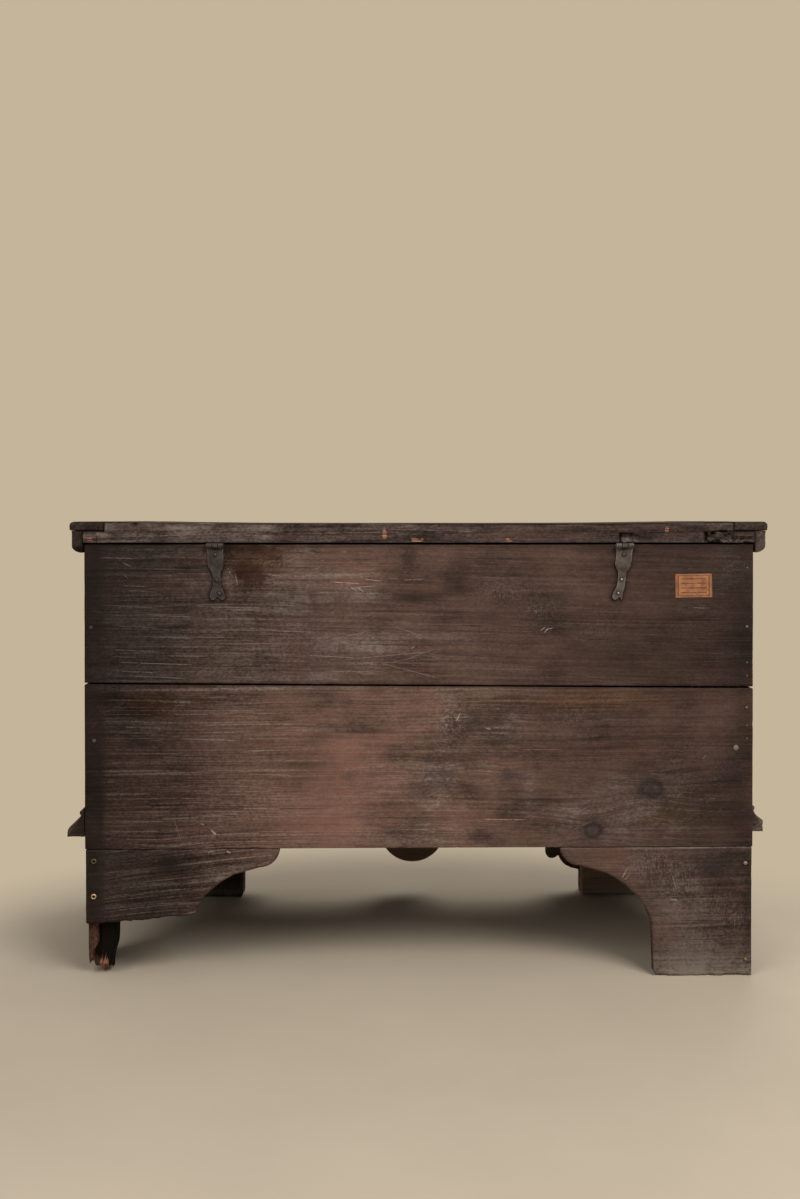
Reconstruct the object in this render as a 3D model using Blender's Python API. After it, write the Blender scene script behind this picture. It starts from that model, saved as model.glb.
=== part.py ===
"""Storage trunk: a nailed softwood blanket chest on a scroll-cut bracket base.

Metres, +Z up. The front faces -Y and the hinged back faces +Y.
Left is -X and right is +X, as seen from the front.
"""
import math

import bmesh
import bpy
from mathutils import Matrix

for old in list(bpy.data.objects):
    bpy.data.objects.remove(old, do_unlink=True)

# Fits
FIT = 0.0003               # gap kept between pieces that touch
NAIL_FIT = 0.0003          # play round a nail in its hole
PIN_FIT = 0.0003           # play round a hinge pin
LID_CLEAR = 0.003          # gap between the case and the mouldings under the lid

# Case
CASE_WIDTH = 1.270
CASE_DEPTH = 0.560
CASE_HEIGHT = 0.580        # lower edge of the back to the seat of the lid
WALL = 0.022               # front and back boards
END_WALL = 0.024           # end boards
EDGE_WEAR = 0.0016         # worn arris on the boards
BACK_LOWER = 0.309         # lower back board, at the middle of its length
BACK_SEAM_RISE = 0.010     # the back seam climbs this much from left to right
BACK_SEAM_GAP = 0.003      # shrinkage gap in the back
FRONT_LOWER = 0.260        # lower front board
END_LOWER = 0.248          # lower end boards
SEAM_GAP = 0.0008          # gap in the other seams

# Bottom of the case
BOTTOM_THICK = 0.018
BOTTOM_RISE = 0.012        # groove above the lower edge of the front and ends
GROOVE_DEPTH = 0.009
TONGUE_THICK = 0.010       # edge of the bottom planks that enters the groove
BOTTOM_PLANKS = 3
BOTTOM_GAP = 0.002

# Bracket base
BASE_HEIGHT = 0.2475
APRON_RISE = 0.040         # front and side aprons run up this far behind the base moulding
BASE_INSET = 0.003         # base stands in from the case at each end
BRACKET_THICK = 0.022
NOSE_REACH = 0.365         # rear bracket, outer edge to the tip of its nose
NOSE_WIDE = 0.038
NOSE_DROP = 0.036
SLOPE_RUN = 0.0495         # straight part behind the nose
SLOPE_DROP = 0.014
FOOT_WIDE = 0.186          # rear foot at the floor
FOOT_FLARE = 0.004         # extra width where its curve begins
FOOT_RISE = 0.102          # height where its curve begins
BREAK_OUTER = 0.102        # height of the broken right rear foot at its outer edge
BREAK_INNER = 0.119        # and at its inner edge
BREAK_ROUGH = 0.0022

# Front apron
FRONT_FOOT_WIDE = 0.2405   # front foot at the floor
FRONT_FOOT_RISE = 0.050
BALL_OFFSET = 0.328        # ball spur, from the middle
BALL_HEIGHT = 0.0895
BALL_RADIUS = 0.0148
DROP_RADIUS = 0.0776       # round drop in the middle
DROP_BOTTOM = 0.069
DROP_STEP = 0.010
APRON_EDGE = 0.172         # straight edge between the drop and the hooks
HOOK_RADIUS = 0.055

# Side aprons
SIDE_FOOT_WIDE = 0.128
SIDE_FOOT_RISE = 0.078     # height where the curve begins
SIDE_CURVE = 0.050
SIDE_CURVE_RISE = 0.072
SIDE_SLOPE = 0.018
SIDE_SLOPE_RISE = 0.006
SIDE_NOSE = 0.024
SIDE_NOSE_RISE = 0.030
TEAR_UP = 0.035            # torn lower corner of the right side apron
TEAR_ALONG = 0.040

# Blocks behind the feet
FRONT_BLOCK_DEEP = 0.038
CORNER_BLOCK_WIDE = 0.0345
CORNER_BLOCK_DEEP = 0.045
TORN_BLOCK_UP = 0.020      # torn lower end of the right rear block
TORN_BLOCK_NARROW = 0.008

# Base moulding
BASE_MOULD_OUT = 0.0325
BASE_MOULD_HIGH = 0.0547
BASE_MOULD_LIP = 0.0085
BASE_MOULD_RISE = 0.0240   # above the lower edge of the back
BASE_BEAD_OUT = 0.0072
BASE_BEAD_RADIUS = 0.0042
LOST_END = 0.018           # length lost from the rear of the left one

# Lid
LID_THICK = 0.0405
LID_HOLLOW = 0.0040        # wear in the middle of the top
LID_SPLIT = 0.285          # width of the back plank
LID_SEAM = 0.0008
CLEAT_WIDE = 0.0662
CLEAT_THICK = 0.0177
NOSE_OVER = 0.0055         # rounded edge past the moulding below
NOSE_ROUND = 0.0080
NOSE_UNDER = 0.0045
LID_MOULD_THICK = 0.0200
LID_MOULD_DROP = 0.0190    # below the underside of the lid
LID_MOULD_CURVE = 0.0130
LID_MOULD_FOOT = 0.0040

# Hinges
HINGE_OFFSET = 0.388       # from the middle
HINGE_SHEET = 0.0026
PIN_RADIUS = 0.0026
PIN_HEAD = 0.0012          # thickness of the burred ends
PIN_HEAD_RADIUS = 0.0036
KNUCKLE_WIDE = 0.0107      # each of the three
KNUCKLE_GAP = 0.0004
LEAF_HALF = 0.0152
LEAF_SHOULDER = 0.037
LEAF_WAIST_HALF = 0.0076
LEAF_WAIST_TOP = 0.058
LEAF_WAIST_END = 0.070
LEAF_TAIL_HALF = 0.0145
LEAF_LENGTH = 0.103
LEAF_NOTCH = 0.006
STRAP_HALF = 0.0150
STRAP_END_HALF = 0.0085
STRAP_LENGTH = 0.240
STRAP_TAIL = 0.026
STRAP_TAIL_HALF = 0.0150

# Nails and screws
NAIL_SIDES = 8
BOARD_NAIL = 0.0022        # shank radius
BOARD_NAIL_HEAD = 0.0048
BOARD_NAIL_LONG = 0.050
SCREW_HEAD = 0.0056
HEAD_HIGH = 0.0020
NAIL_EDGE = 0.0125         # nail line, in from the end of a board
HINGE_NAIL = 0.0016
HINGE_NAIL_HEAD = 0.0036
HINGE_NAIL_LONG = 0.016
STRAP_NAILS = 3            # in each strap
STRAP_NAIL_START = 0.045
STRAP_NAIL_END = 0.017

# Derived places
SEAT_Z = BASE_HEIGHT + CASE_HEIGHT
LID_Z = SEAT_Z + FIT
LID_TOP = LID_Z + LID_THICK
LAYER_Z = LID_TOP - CLEAT_THICK
BACK_TOP_Z = SEAT_Z - HINGE_SHEET - 2 * FIT
HALF = CASE_WIDTH / 2
BASE_HALF = HALF - BASE_INSET
PLANK_HALF = HALF + LID_CLEAR
LID_LIP = LID_CLEAR + FIT + LID_MOULD_THICK + NOSE_OVER
CLEAT_OUT = HALF + LID_LIP
CLEAT_IN = CLEAT_OUT - CLEAT_WIDE
KNUCKLE_BORE = PIN_RADIUS + PIN_FIT
KNUCKLE_R = KNUCKLE_BORE + HINGE_SHEET
FRONT_REACH = max(FIT + BASE_MOULD_OUT, LID_LIP)
BACK_REACH = FIT + 2 * KNUCKLE_R
FRONT_Y = (FRONT_REACH - BACK_REACH - CASE_DEPTH) / 2
BACK_Y = FRONT_Y + CASE_DEPTH
INNER_FRONT = FRONT_Y + WALL
INNER_BACK = BACK_Y - WALL
INNER_HALF = HALF - END_WALL
BASE_TOP = BASE_HEIGHT - FIT
CASE_LOW = BASE_HEIGHT + APRON_RISE
APRON_TOP = CASE_LOW - FIT
AXIS_Y = BACK_Y + FIT + KNUCKLE_R
AXIS_Z = LID_Z - FIT - KNUCKLE_R
GROOVE_Z = CASE_LOW + BOTTOM_RISE

LID_NODES = []
CUTS = {}


def paint(obj, colour, roughness, metallic):
    """Give an object its own plain material."""
    mat = bpy.data.materials.new(obj.name + "_finish")
    mat.use_nodes = True
    shader = mat.node_tree.nodes["Principled BSDF"]
    shader.inputs["Base Color"].default_value = (*colour, 1.0)
    shader.inputs["Roughness"].default_value = roughness
    shader.inputs["Metallic"].default_value = metallic
    obj.data.materials.append(mat)


def wood(obj, shade=1.0):
    paint(obj, (0.085 * shade, 0.050 * shade, 0.040 * shade), 0.62, 0.0)


def iron(obj):
    paint(obj, (0.060, 0.056, 0.054), 0.60, 0.85)


def brass(obj):
    paint(obj, (0.55, 0.42, 0.20), 0.45, 0.9)


def link(name, bm):
    """Turn a bmesh into a named object with faces pointing outwards."""
    bmesh.ops.recalc_face_normals(bm, faces=bm.faces)
    mesh = bpy.data.meshes.new(name)
    bm.to_mesh(mesh)
    bm.free()
    obj = bpy.data.objects.new(name, mesh)
    bpy.context.scene.collection.objects.link(obj)
    return obj


def add_rings(bm, rings):
    """Skin a row of closed rings and cap both ends."""
    rows = []
    for ring in rings:
        rows.append([bm.verts.new(point) for point in ring])
    count = len(rows[0])
    for low, high in zip(rows, rows[1:]):
        for i in range(count):
            j = (i + 1) % count
            bm.faces.new((low[i], low[j], high[j], high[i]))
    bm.faces.new(list(reversed(rows[0])))
    bm.faces.new(rows[-1])


def place(axis, along, first, second):
    """Point with one coordinate along an axis and two across it."""
    if axis == "X":
        return (along, first, second)
    if axis == "Y":
        return (first, along, second)
    return (first, second, along)


def prism(name, outline, axis, low, high):
    """Straight length of one outline."""
    bm = bmesh.new()
    rings = []
    for along in (low, high):
        rings.append([place(axis, along, a, b) for a, b in outline])
    add_rings(bm, rings)
    return link(name, bm)


def box_rings(x, y, z):
    """Two rings of a box given as three low-high pairs."""
    rings = []
    for level in z:
        rings.append([(x[0], y[0], level), (x[1], y[0], level), (x[1], y[1], level), (x[0], y[1], level)])
    return rings


def wear(obj, width=EDGE_WEAR):
    """Take the sharp arrises off a board."""
    bevel = obj.modifiers.new("worn_edges", "BEVEL")
    bevel.width = width
    bevel.segments = 1
    bevel.limit_method = "ANGLE"
    bevel.angle_limit = math.radians(30)


def board(name, x, y, z, shade=1.0):
    bm = bmesh.new()
    add_rings(bm, box_rings(x, y, z))
    obj = link(name, bm)
    wear(obj)
    wood(obj, shade)
    return obj


def arc(cx, cy, rx, ry, start, end, steps):
    """Points on an ellipse, both ends included, angles in degrees."""
    points = []
    for i in range(steps + 1):
        angle = math.radians(start + (end - start) * i / steps)
        points.append((cx + rx * math.cos(angle), cy + ry * math.sin(angle)))
    return points


def sweep(p0, p1, p2, p3, steps):
    """Points on a cubic curve, both ends included."""
    points = []
    for i in range(steps + 1):
        t = i / steps
        s = 1 - t
        weights = (s * s * s, 3 * s * s * t, 3 * s * t * t, t * t * t)
        ends = (p0, p1, p2, p3)
        points.append(tuple(sum(w * p[k] for w, p in zip(weights, ends)) for k in (0, 1)))
    return points


def cut(node, rings):
    """Note a tool shape that is to be taken out of a node."""
    CUTS.setdefault(node, []).append(rings)


def circle_ring(axis, centre, radius, along, sides):
    ring = []
    for i in range(sides):
        angle = 2 * math.pi * (i + 0.5) / sides
        first = centre[0] + radius * math.cos(angle)
        second = centre[1] + radius * math.sin(angle)
        ring.append(place(axis, along, first, second))
    return ring


def drive(name, axis, way, centre, face, shank, head, length, nodes):
    """Nail or screw: head on a face, shank going in against the outward way."""
    bm = bmesh.new()
    stations = [
        (HEAD_HIGH + FIT, head * 0.45),
        (0.55 * HEAD_HIGH + FIT, head * 0.88),
        (FIT, head),
        (FIT, shank),
        (-length * 0.75, shank),
        (-length, shank * 0.35),
    ]
    rings = []
    for out, radius in stations:
        rings.append(circle_ring(axis, centre, radius, face + way * out, NAIL_SIDES))
    add_rings(bm, rings)
    bore = shank + NAIL_FIT / math.cos(math.pi / NAIL_SIDES)
    mouth = face + way * 4 * FIT
    for node, top, bottom in nodes:
        start = mouth if top is None else top
        hole = []
        for along in (start, bottom):
            hole.append(circle_ring(axis, centre, bore, along, NAIL_SIDES))
        cut(node, hole)
    return link(name, bm)


def boolean(obj, name, bm, operation):
    """Leave a live boolean on a node, with its tool hidden."""
    tool = link(name, bm)
    tool.hide_render = True
    tool.display_type = "WIRE"
    modifier = obj.modifiers.new(operation.lower(), "BOOLEAN")
    modifier.operation = operation
    modifier.solver = "EXACT"
    modifier.object = tool


# Walls of the case
def back_seam(x):
    return BASE_HEIGHT + BACK_LOWER + BACK_SEAM_RISE * x / CASE_WIDTH


def back_board(name, low, high):
    """Board of the back, nailed over the ends, with a slanting edge at the seam."""
    outline = [(-HALF, low(-HALF)), (HALF, low(HALF)), (HALF, high(HALF)), (-HALF, high(-HALF))]
    obj = prism(name, outline, "Y", INNER_BACK, BACK_Y)
    wear(obj)
    wood(obj)


back_board("back_board_lower", lambda x: BASE_HEIGHT, lambda x: back_seam(x) - BACK_SEAM_GAP / 2)
back_board("back_board_upper", lambda x: back_seam(x) + BACK_SEAM_GAP / 2, lambda x: BACK_TOP_Z)

front_seam = CASE_LOW + FRONT_LOWER
board("front_board_lower", (-HALF, HALF), (FRONT_Y, INNER_FRONT), (CASE_LOW, front_seam - SEAM_GAP))
board("front_board_upper", (-HALF, HALF), (FRONT_Y, INNER_FRONT), (front_seam, SEAT_Z))

end_seam = CASE_LOW + END_LOWER
END_RUN = (INNER_FRONT + FIT, INNER_BACK - FIT)
SIDES = (("left", -1), ("right", 1))


def span(side, near, far):
    """Low-high pair of X values on one side of the middle."""
    return tuple(sorted((side * near, side * far)))


for side_name, side in SIDES:
    across = span(side, INNER_HALF, HALF)
    board(f"end_board_{side_name}_lower", across, END_RUN, (CASE_LOW, end_seam - SEAM_GAP))
    board(f"end_board_{side_name}_upper", across, END_RUN, (end_seam, SEAT_Z))

# Bottom planks, with tongues in a groove that runs round the inside
groove_z = (GROOVE_Z, GROOVE_Z + TONGUE_THICK + 2 * FIT)
groove_half = INNER_HALF + GROOVE_DEPTH
groove_run = (-groove_half, groove_half)
cut("front_board_lower", box_rings(groove_run, (INNER_FRONT - GROOVE_DEPTH, INNER_FRONT + FIT), groove_z))
cut("back_board_lower", box_rings(groove_run, (INNER_BACK - FIT, INNER_BACK + GROOVE_DEPTH), groove_z))
for side_name, side in SIDES:
    across = span(side, INNER_HALF - FIT, groove_half)
    cut(f"end_board_{side_name}_lower", box_rings(across, (INNER_FRONT, INNER_BACK), groove_z))

bottom_low = INNER_FRONT - GROOVE_DEPTH + FIT
bottom_high = INNER_BACK + GROOVE_DEPTH - FIT
plank_pitch = (bottom_high - bottom_low + BOTTOM_GAP) / BOTTOM_PLANKS
bottom_half = groove_half - FIT
for i in range(BOTTOM_PLANKS):
    low = bottom_low + i * plank_pitch
    high = low + plank_pitch - BOTTOM_GAP
    name = f"bottom_plank_{i + 1}"
    plank_z = (GROOVE_Z + FIT, GROOVE_Z + FIT + BOTTOM_THICK)
    rebate_z = (plank_z[0] + TONGUE_THICK, plank_z[1] + FIT)
    obj = board(name, (-bottom_half, bottom_half), (low, high), plank_z, 1.4)
    for side_name, side in SIDES:
        across = span(side, INNER_HALF - FIT, groove_half)
        cut(name, box_rings(across, (low - FIT, high + FIT), rebate_z))
    rebate_y = None
    if i == 0:
        rebate_y = (low - FIT, INNER_FRONT + FIT)
    if i == BOTTOM_PLANKS - 1:
        rebate_y = (INNER_BACK - FIT, high + FIT)
    if rebate_y:
        bm = bmesh.new()
        add_rings(bm, box_rings(groove_run, rebate_y, rebate_z))
        boolean(obj, f"rebate_{name}", bm, "DIFFERENCE")



# Rear brackets
def bracket_curve():
    """Lower edge of a rear bracket from its nose to its foot, measured from the outer edge."""
    nose_in = NOSE_REACH - NOSE_WIDE
    nose_z = BASE_TOP - NOSE_DROP
    points = arc(nose_in, BASE_TOP, NOSE_WIDE, NOSE_DROP, 0, -90, 8)
    start = (nose_in - SLOPE_RUN, nose_z - SLOPE_DROP)
    end = (FOOT_WIDE + FOOT_FLARE, FOOT_RISE)
    run = start[0] - end[0]
    rise = start[1] - end[1]
    points += sweep(start, (start[0] - 0.43 * run, start[1] - 0.18 * rise),
                    (end[0] + 0.115 * run, end[1] + 0.40 * rise), end, 10)
    return points


def bracket_outline(broken):
    points = bracket_curve()
    if not broken:
        return points + [(FOOT_WIDE, 0.0), (0.0, 0.0), (0.0, BASE_TOP)]
    points = [p for p in points if p[1] > BREAK_INNER]
    inner = points[-1][0]
    steps = 11
    for i in range(1, steps + 1):
        t = i / steps
        level = BREAK_INNER + (BREAK_OUTER - BREAK_INNER) * t
        rough = BREAK_ROUGH * (math.sin(9.7 * t) + 0.6 * math.sin(23.0 * t + 1.0)) * (1 - t)
        points.append((inner * (1 - t), level + rough))
    return points + [(0.0, BASE_TOP)]


for side_name, side in SIDES:
    outline = [(side * (BASE_HALF - u), z) for u, z in bracket_outline(side > 0)]
    wood(prism(f"rear_bracket_{side_name}", outline, "Y", BACK_Y - BRACKET_THICK, BACK_Y))

# Front apron: one board with feet, ball spurs and a round drop
foot_in = BASE_HALF - FRONT_FOOT_WIDE
drop_z = DROP_BOTTOM + DROP_RADIUS
ball_right = BALL_OFFSET + BALL_RADIUS
ball_left = BALL_OFFSET - BALL_RADIUS
step_z = (drop_z + APRON_EDGE) / 2


def apron_half():
    """Lower edge of the front apron from the middle to the outer edge."""
    points = arc(0.0, drop_z, DROP_RADIUS, DROP_RADIUS, -90, 0, 12)
    points.append((DROP_RADIUS, step_z))
    points.append((DROP_RADIUS + DROP_STEP, step_z))
    points.append((DROP_RADIUS + DROP_STEP, APRON_EDGE))
    points += arc(ball_left - HOOK_RADIUS, APRON_EDGE - HOOK_RADIUS, HOOK_RADIUS, HOOK_RADIUS, 90, 0, 8)
    points += arc(BALL_OFFSET, BALL_HEIGHT, BALL_RADIUS, BALL_RADIUS, 180, 360, 12)
    quarter = arc(foot_in, BALL_HEIGHT, foot_in - ball_right, BALL_HEIGHT - FRONT_FOOT_RISE, 180, 270, 8)
    points += quarter[1:]
    points += [(foot_in, 0.0), (BASE_HALF, 0.0)]
    return points


right_half = apron_half()
outline = [(-x, z) for x, z in reversed(right_half[1:])] + right_half
outline += [(BASE_HALF, APRON_TOP), (-BASE_HALF, APRON_TOP)]
APRON_Y = FRONT_Y + BRACKET_THICK
wood(prism("front_apron", outline, "Y", FRONT_Y, APRON_Y))

# Side aprons, between the front apron and the rear brackets
SIDE_RUN = (APRON_Y + FIT, BACK_Y - max(BRACKET_THICK, WALL) - FIT)


def side_arch():
    """Edge of the arch from a foot to the middle: distance from the end of the apron and height."""
    foot = SIDE_FOOT_WIDE
    points = [(foot, 0.0)]
    points += arc(foot + SIDE_CURVE, SIDE_FOOT_RISE, SIDE_CURVE, SIDE_CURVE_RISE, 180, 90, 7)
    slope = foot + SIDE_CURVE + SIDE_SLOPE
    level = SIDE_FOOT_RISE + SIDE_CURVE_RISE + SIDE_SLOPE_RISE
    points += arc(slope, level + SIDE_NOSE_RISE, SIDE_NOSE, SIDE_NOSE_RISE, -90, 0, 6)
    return points


def side_outline(torn):
    """Outline of a side apron in Y and Z."""
    low, high = SIDE_RUN
    points = [(low, 0.0)]
    points += [(low + u, z) for u, z in side_arch()]
    points += [(high - u, z) for u, z in reversed(side_arch())]
    if torn:
        points.append((high - TEAR_ALONG, 0.0))
        points.append((high - 0.62 * TEAR_ALONG, 0.22 * TEAR_UP))
        points.append((high - 0.30 * TEAR_ALONG, 0.52 * TEAR_UP))
        points.append((high, TEAR_UP))
    else:
        points.append((high, 0.0))
    return points + [(high, APRON_TOP), (low, APRON_TOP)]


SIDE_IN = BASE_HALF - BRACKET_THICK
for side_name, side in SIDES:
    low, high = span(side, SIDE_IN, BASE_HALF)
    wood(prism(f"side_apron_{side_name}", side_outline(side > 0), "X", low, high))

# Blocks behind the feet
for side_name, side in SIDES:
    across = span(side, foot_in, SIDE_IN - FIT)
    board(f"foot_block_front_{side_name}", across, (APRON_Y + FIT, APRON_Y + FIT + FRONT_BLOCK_DEEP),
          (0.0, GROOVE_Z), 0.9)

block_out = SIDE_IN - FIT
block_y = (SIDE_RUN[1] - CORNER_BLOCK_DEEP, SIDE_RUN[1])
block_x = span(-1, block_out - CORNER_BLOCK_WIDE, block_out)
board("corner_block_rear_left", block_x, block_y, (0.0, GROOVE_Z), 0.8)


def torn_block():
    """Right rear block, worn narrow and torn away at the floor."""
    top_in = block_out - CORNER_BLOCK_WIDE
    low_in = top_in + TORN_BLOCK_NARROW
    heel = block_y[1] - 0.45 * CORNER_BLOCK_DEEP
    bm = bmesh.new()
    rings = []
    for x_top, x_low in ((top_in, low_in), (block_out, block_out)):
        rings.append([(x_low, block_y[0], 0.0), (x_low, heel, 0.0), (x_low, block_y[1], TORN_BLOCK_UP),
                      (x_top, block_y[1], GROOVE_Z), (x_top, block_y[0], GROOVE_Z)])
    add_rings(bm, rings)
    return link("corner_block_rear_right", bm)


wood(torn_block(), 0.8)


# Mouldings
def base_profile():
    """Base moulding: distance out from the case and height above its own lower edge."""
    bead_z = BASE_MOULD_HIGH - 2.2 * BASE_BEAD_RADIUS
    cove_z = bead_z - BASE_BEAD_RADIUS
    points = [(0.0, 0.0), (BASE_MOULD_OUT, 0.0)]
    points += sweep((BASE_MOULD_OUT, BASE_MOULD_LIP), (BASE_MOULD_OUT, BASE_MOULD_LIP + 0.38 * cove_z),
                    (BASE_BEAD_OUT + 0.003, 0.62 * cove_z), (BASE_BEAD_OUT, cove_z), 8)
    points += arc(BASE_BEAD_OUT, bead_z, 0.55 * BASE_BEAD_RADIUS, BASE_BEAD_RADIUS, -60, 90, 5)
    points += [(0.35 * BASE_BEAD_OUT, bead_z + BASE_BEAD_RADIUS), (0.35 * BASE_BEAD_OUT, BASE_MOULD_HIGH)]
    return points + [(0.0, BASE_MOULD_HIGH)]


def lid_profile():
    """Moulding under the lid: distance out from the plank and height above the lower edge."""
    high = LAYER_Z - FIT - (LID_Z - LID_MOULD_DROP)
    points = [(0.0, 0.0), (LID_MOULD_FOOT, 0.0)]
    points += sweep((LID_MOULD_FOOT, 0.0), (0.55 * LID_MOULD_THICK, 0.08 * LID_MOULD_CURVE),
                    (LID_MOULD_THICK, 0.45 * LID_MOULD_CURVE), (LID_MOULD_THICK, LID_MOULD_CURVE), 7)[1:]
    return points + [(LID_MOULD_THICK, high), (0.0, high)]


def moulding(name, profile, side, half, front, low, rear):
    """Length of moulding mitred at the front: along an end for side -1 or 1, along the front for side 0."""
    mitre = FIT / 2
    rings = []
    if side == 0:
        for way in (-1, 1):
            rings.append([(way * (half + u - mitre), front - u, low + v) for u, v in profile])
    else:
        rings.append([(side * (half + u), front - u + mitre, low + v) for u, v in profile])
        rings.append([(side * (half + u), rear, low + v) for u, v in profile])
    bm = bmesh.new()
    add_rings(bm, rings)
    obj = link(name, bm)
    wood(obj)
    return obj


base_low = BASE_HEIGHT + BASE_MOULD_RISE
moulding("base_moulding_front", base_profile(), 0, HALF + FIT, FRONT_Y - FIT, base_low, None)
moulding("base_moulding_left", base_profile(), -1, HALF + FIT, FRONT_Y - FIT, base_low, BACK_Y - LOST_END)
moulding("base_moulding_right", base_profile(), 1, HALF + FIT, FRONT_Y - FIT, base_low, BACK_Y)

lid_low = LID_Z - LID_MOULD_DROP
lid_front = FRONT_Y - LID_CLEAR
for side_name, side in (("front", 0),) + SIDES:
    name = f"lid_moulding_{side_name}"
    obj = moulding(name, lid_profile(), side, PLANK_HALF + FIT, lid_front - FIT, lid_low, BACK_Y)
    LID_NODES.append(obj)


# Lid planks, hollowed by wear, with a rabbet at each end for the cleats
def hollow(x):
    t = min(1.0, abs(x) / CLEAT_IN)
    return LID_HOLLOW * (1 - t ** 4)


def nose(edge, way):
    """Rounded edge of the upper layer, from its underside to its top."""
    under = arc(edge - way * NOSE_UNDER, LAYER_Z + NOSE_UNDER, way * NOSE_UNDER, NOSE_UNDER, -90, 0, 3)
    over = arc(edge - way * NOSE_ROUND, LID_TOP - NOSE_ROUND, way * NOSE_ROUND, NOSE_ROUND, 0, 90, 5)
    return under + over


lid_nose = FRONT_Y - LID_LIP
split_y = BACK_Y - LID_SPLIT


def plank(name, section):
    """Plank along X with the top worn hollow."""
    steps = 16
    rings = []
    for i in range(steps + 1):
        x = -PLANK_HALF + 2 * PLANK_HALF * i / steps
        keep = 1 - hollow(x) / CLEAT_THICK
        rings.append([(x, y, z if z <= LAYER_Z else LAYER_Z + (z - LAYER_Z) * keep) for y, z in section])
    bm = bmesh.new()
    add_rings(bm, rings)
    obj = link(name, bm)
    wood(obj)
    for side in (-1, 1):
        past = span(side, CLEAT_IN - FIT, CLEAT_OUT)
        cut(name, box_rings(past, (lid_nose - FIT, BACK_Y + FIT), (LAYER_Z - FIT, LID_TOP + FIT)))
    LID_NODES.append(obj)


back_section = [(split_y, LID_Z), (BACK_Y, LID_Z), (BACK_Y, LID_TOP - EDGE_WEAR)]
back_section += [(BACK_Y - EDGE_WEAR, LID_TOP), (split_y, LID_TOP)]
plank("lid_plank_back", back_section)
front_section = [(split_y - LID_SEAM, LID_TOP), (split_y - LID_SEAM, LID_Z), (lid_front, LID_Z),
                 (lid_front, LAYER_Z)]
plank("lid_plank_front", front_section + nose(lid_nose, -1))

for side_name, side in SIDES:
    outline = [(side * CLEAT_IN, LAYER_Z)] + nose(side * CLEAT_OUT, side) + [(side * CLEAT_IN, LID_TOP)]
    obj = prism(f"lid_cleat_{side_name}", outline, "Y", lid_nose - FIT, BACK_Y)
    wood(obj)
    LID_NODES.append(obj)
    bm = bmesh.new()
    section = [(BACK_Y + FIT, LAYER_Z - FIT), (lid_nose + NOSE_UNDER, LAYER_Z - FIT)] + nose(lid_nose, -1)
    section += [(lid_nose + NOSE_ROUND, LID_TOP + FIT), (BACK_Y + FIT, LID_TOP + FIT)]
    low, high = span(side, CLEAT_IN - FIT, CLEAT_OUT + FIT)
    add_rings(bm, [[(x, y, z) for y, z in section] for x in (low, high)])
    boolean(obj, f"shape_lid_cleat_{side_name}", bm, "INTERSECT")


# Hinges
def curl(turn):
    """Rolled knuckle in Y and Z about the axis, with a stub that runs into its sheet."""
    slim = 0.00006
    stub = LEAF_HALF * 0.6
    points = [(-KNUCKLE_R + slim, -stub), (-KNUCKLE_R + slim, -slim)]
    points += arc(0.0, 0.0, KNUCKLE_R, KNUCKLE_R, 180, -115, 14)
    points += arc(0.0, 0.0, KNUCKLE_BORE, KNUCKLE_BORE, -115, 180, 14)
    points += [(-KNUCKLE_BORE - slim, -slim), (-KNUCKLE_BORE - slim, -stub)]
    if turn:
        points = [(z, -y) for y, z in points]
    return [(AXIS_Y + y, AXIS_Z + z) for y, z in points]


def knuckle_rings(x, place_index, turn):
    """Rings of one knuckle, numbered -1, 0 or 1 along the pin."""
    middle = x + place_index * (KNUCKLE_WIDE + KNUCKLE_GAP)
    rings = []
    for edge in (middle - KNUCKLE_WIDE / 2, middle + KNUCKLE_WIDE / 2):
        rings.append([(edge, y, z) for y, z in curl(turn)])
    return rings


def leaf_side(lost):
    """Edge of a back leaf from its shoulder to its notch: half width and distance below the axis."""
    points = [(LEAF_HALF, KNUCKLE_R * 0.35), (LEAF_HALF, LEAF_SHOULDER)]
    points += sweep((LEAF_HALF, LEAF_SHOULDER), (LEAF_HALF * 0.75, LEAF_SHOULDER + 0.010),
                    (LEAF_WAIST_HALF, LEAF_WAIST_TOP - 0.012), (LEAF_WAIST_HALF, LEAF_WAIST_TOP), 5)[1:]
    points.append((LEAF_WAIST_HALF, LEAF_WAIST_END))
    tail = LEAF_TAIL_HALF * (0.35 if lost else 1.0)
    lobe = LEAF_LENGTH - 0.007
    points += sweep((LEAF_WAIST_HALF, LEAF_WAIST_END), (LEAF_WAIST_HALF, LEAF_WAIST_END + 0.014),
                    (tail, lobe - 0.012), (tail, lobe), 5)[1:]
    points += arc(tail * 0.55, lobe, tail * 0.45, 0.007, 0, 90, 4)[1:]
    return points


waist_z = AXIS_Z - (LEAF_WAIST_TOP + LEAF_WAIST_END) / 2
LEAF_NAILS = ((0.0, AXIS_Z - 0.017), (0.0, waist_z), (0.004, AXIS_Z - LEAF_LENGTH + 0.013))
leaf_y = (BACK_Y + FIT, BACK_Y + FIT + HINGE_SHEET)
strap_z = (LID_Z - FIT - HINGE_SHEET, LID_Z - FIT)
tongue = KNUCKLE_WIDE / 2
strap_start = BACK_Y - 0.0015


def strap_side():
    """Edge of a lid strap from its tongue to its notch: half width and Y."""
    end = BACK_Y - STRAP_LENGTH
    neck = end + STRAP_TAIL
    points = [(tongue, AXIS_Y - KNUCKLE_R * 0.35), (tongue, strap_start), (STRAP_HALF, strap_start)]
    points.append((STRAP_END_HALF, neck))
    points += sweep((STRAP_END_HALF, neck), (STRAP_END_HALF, neck - 0.010),
                    (STRAP_TAIL_HALF, end + 0.016), (STRAP_TAIL_HALF, end + 0.007), 5)[1:]
    points += arc(STRAP_TAIL_HALF * 0.55, end + 0.007, STRAP_TAIL_HALF * 0.45, 0.007, 0, -90, 4)[1:]
    return points


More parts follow.
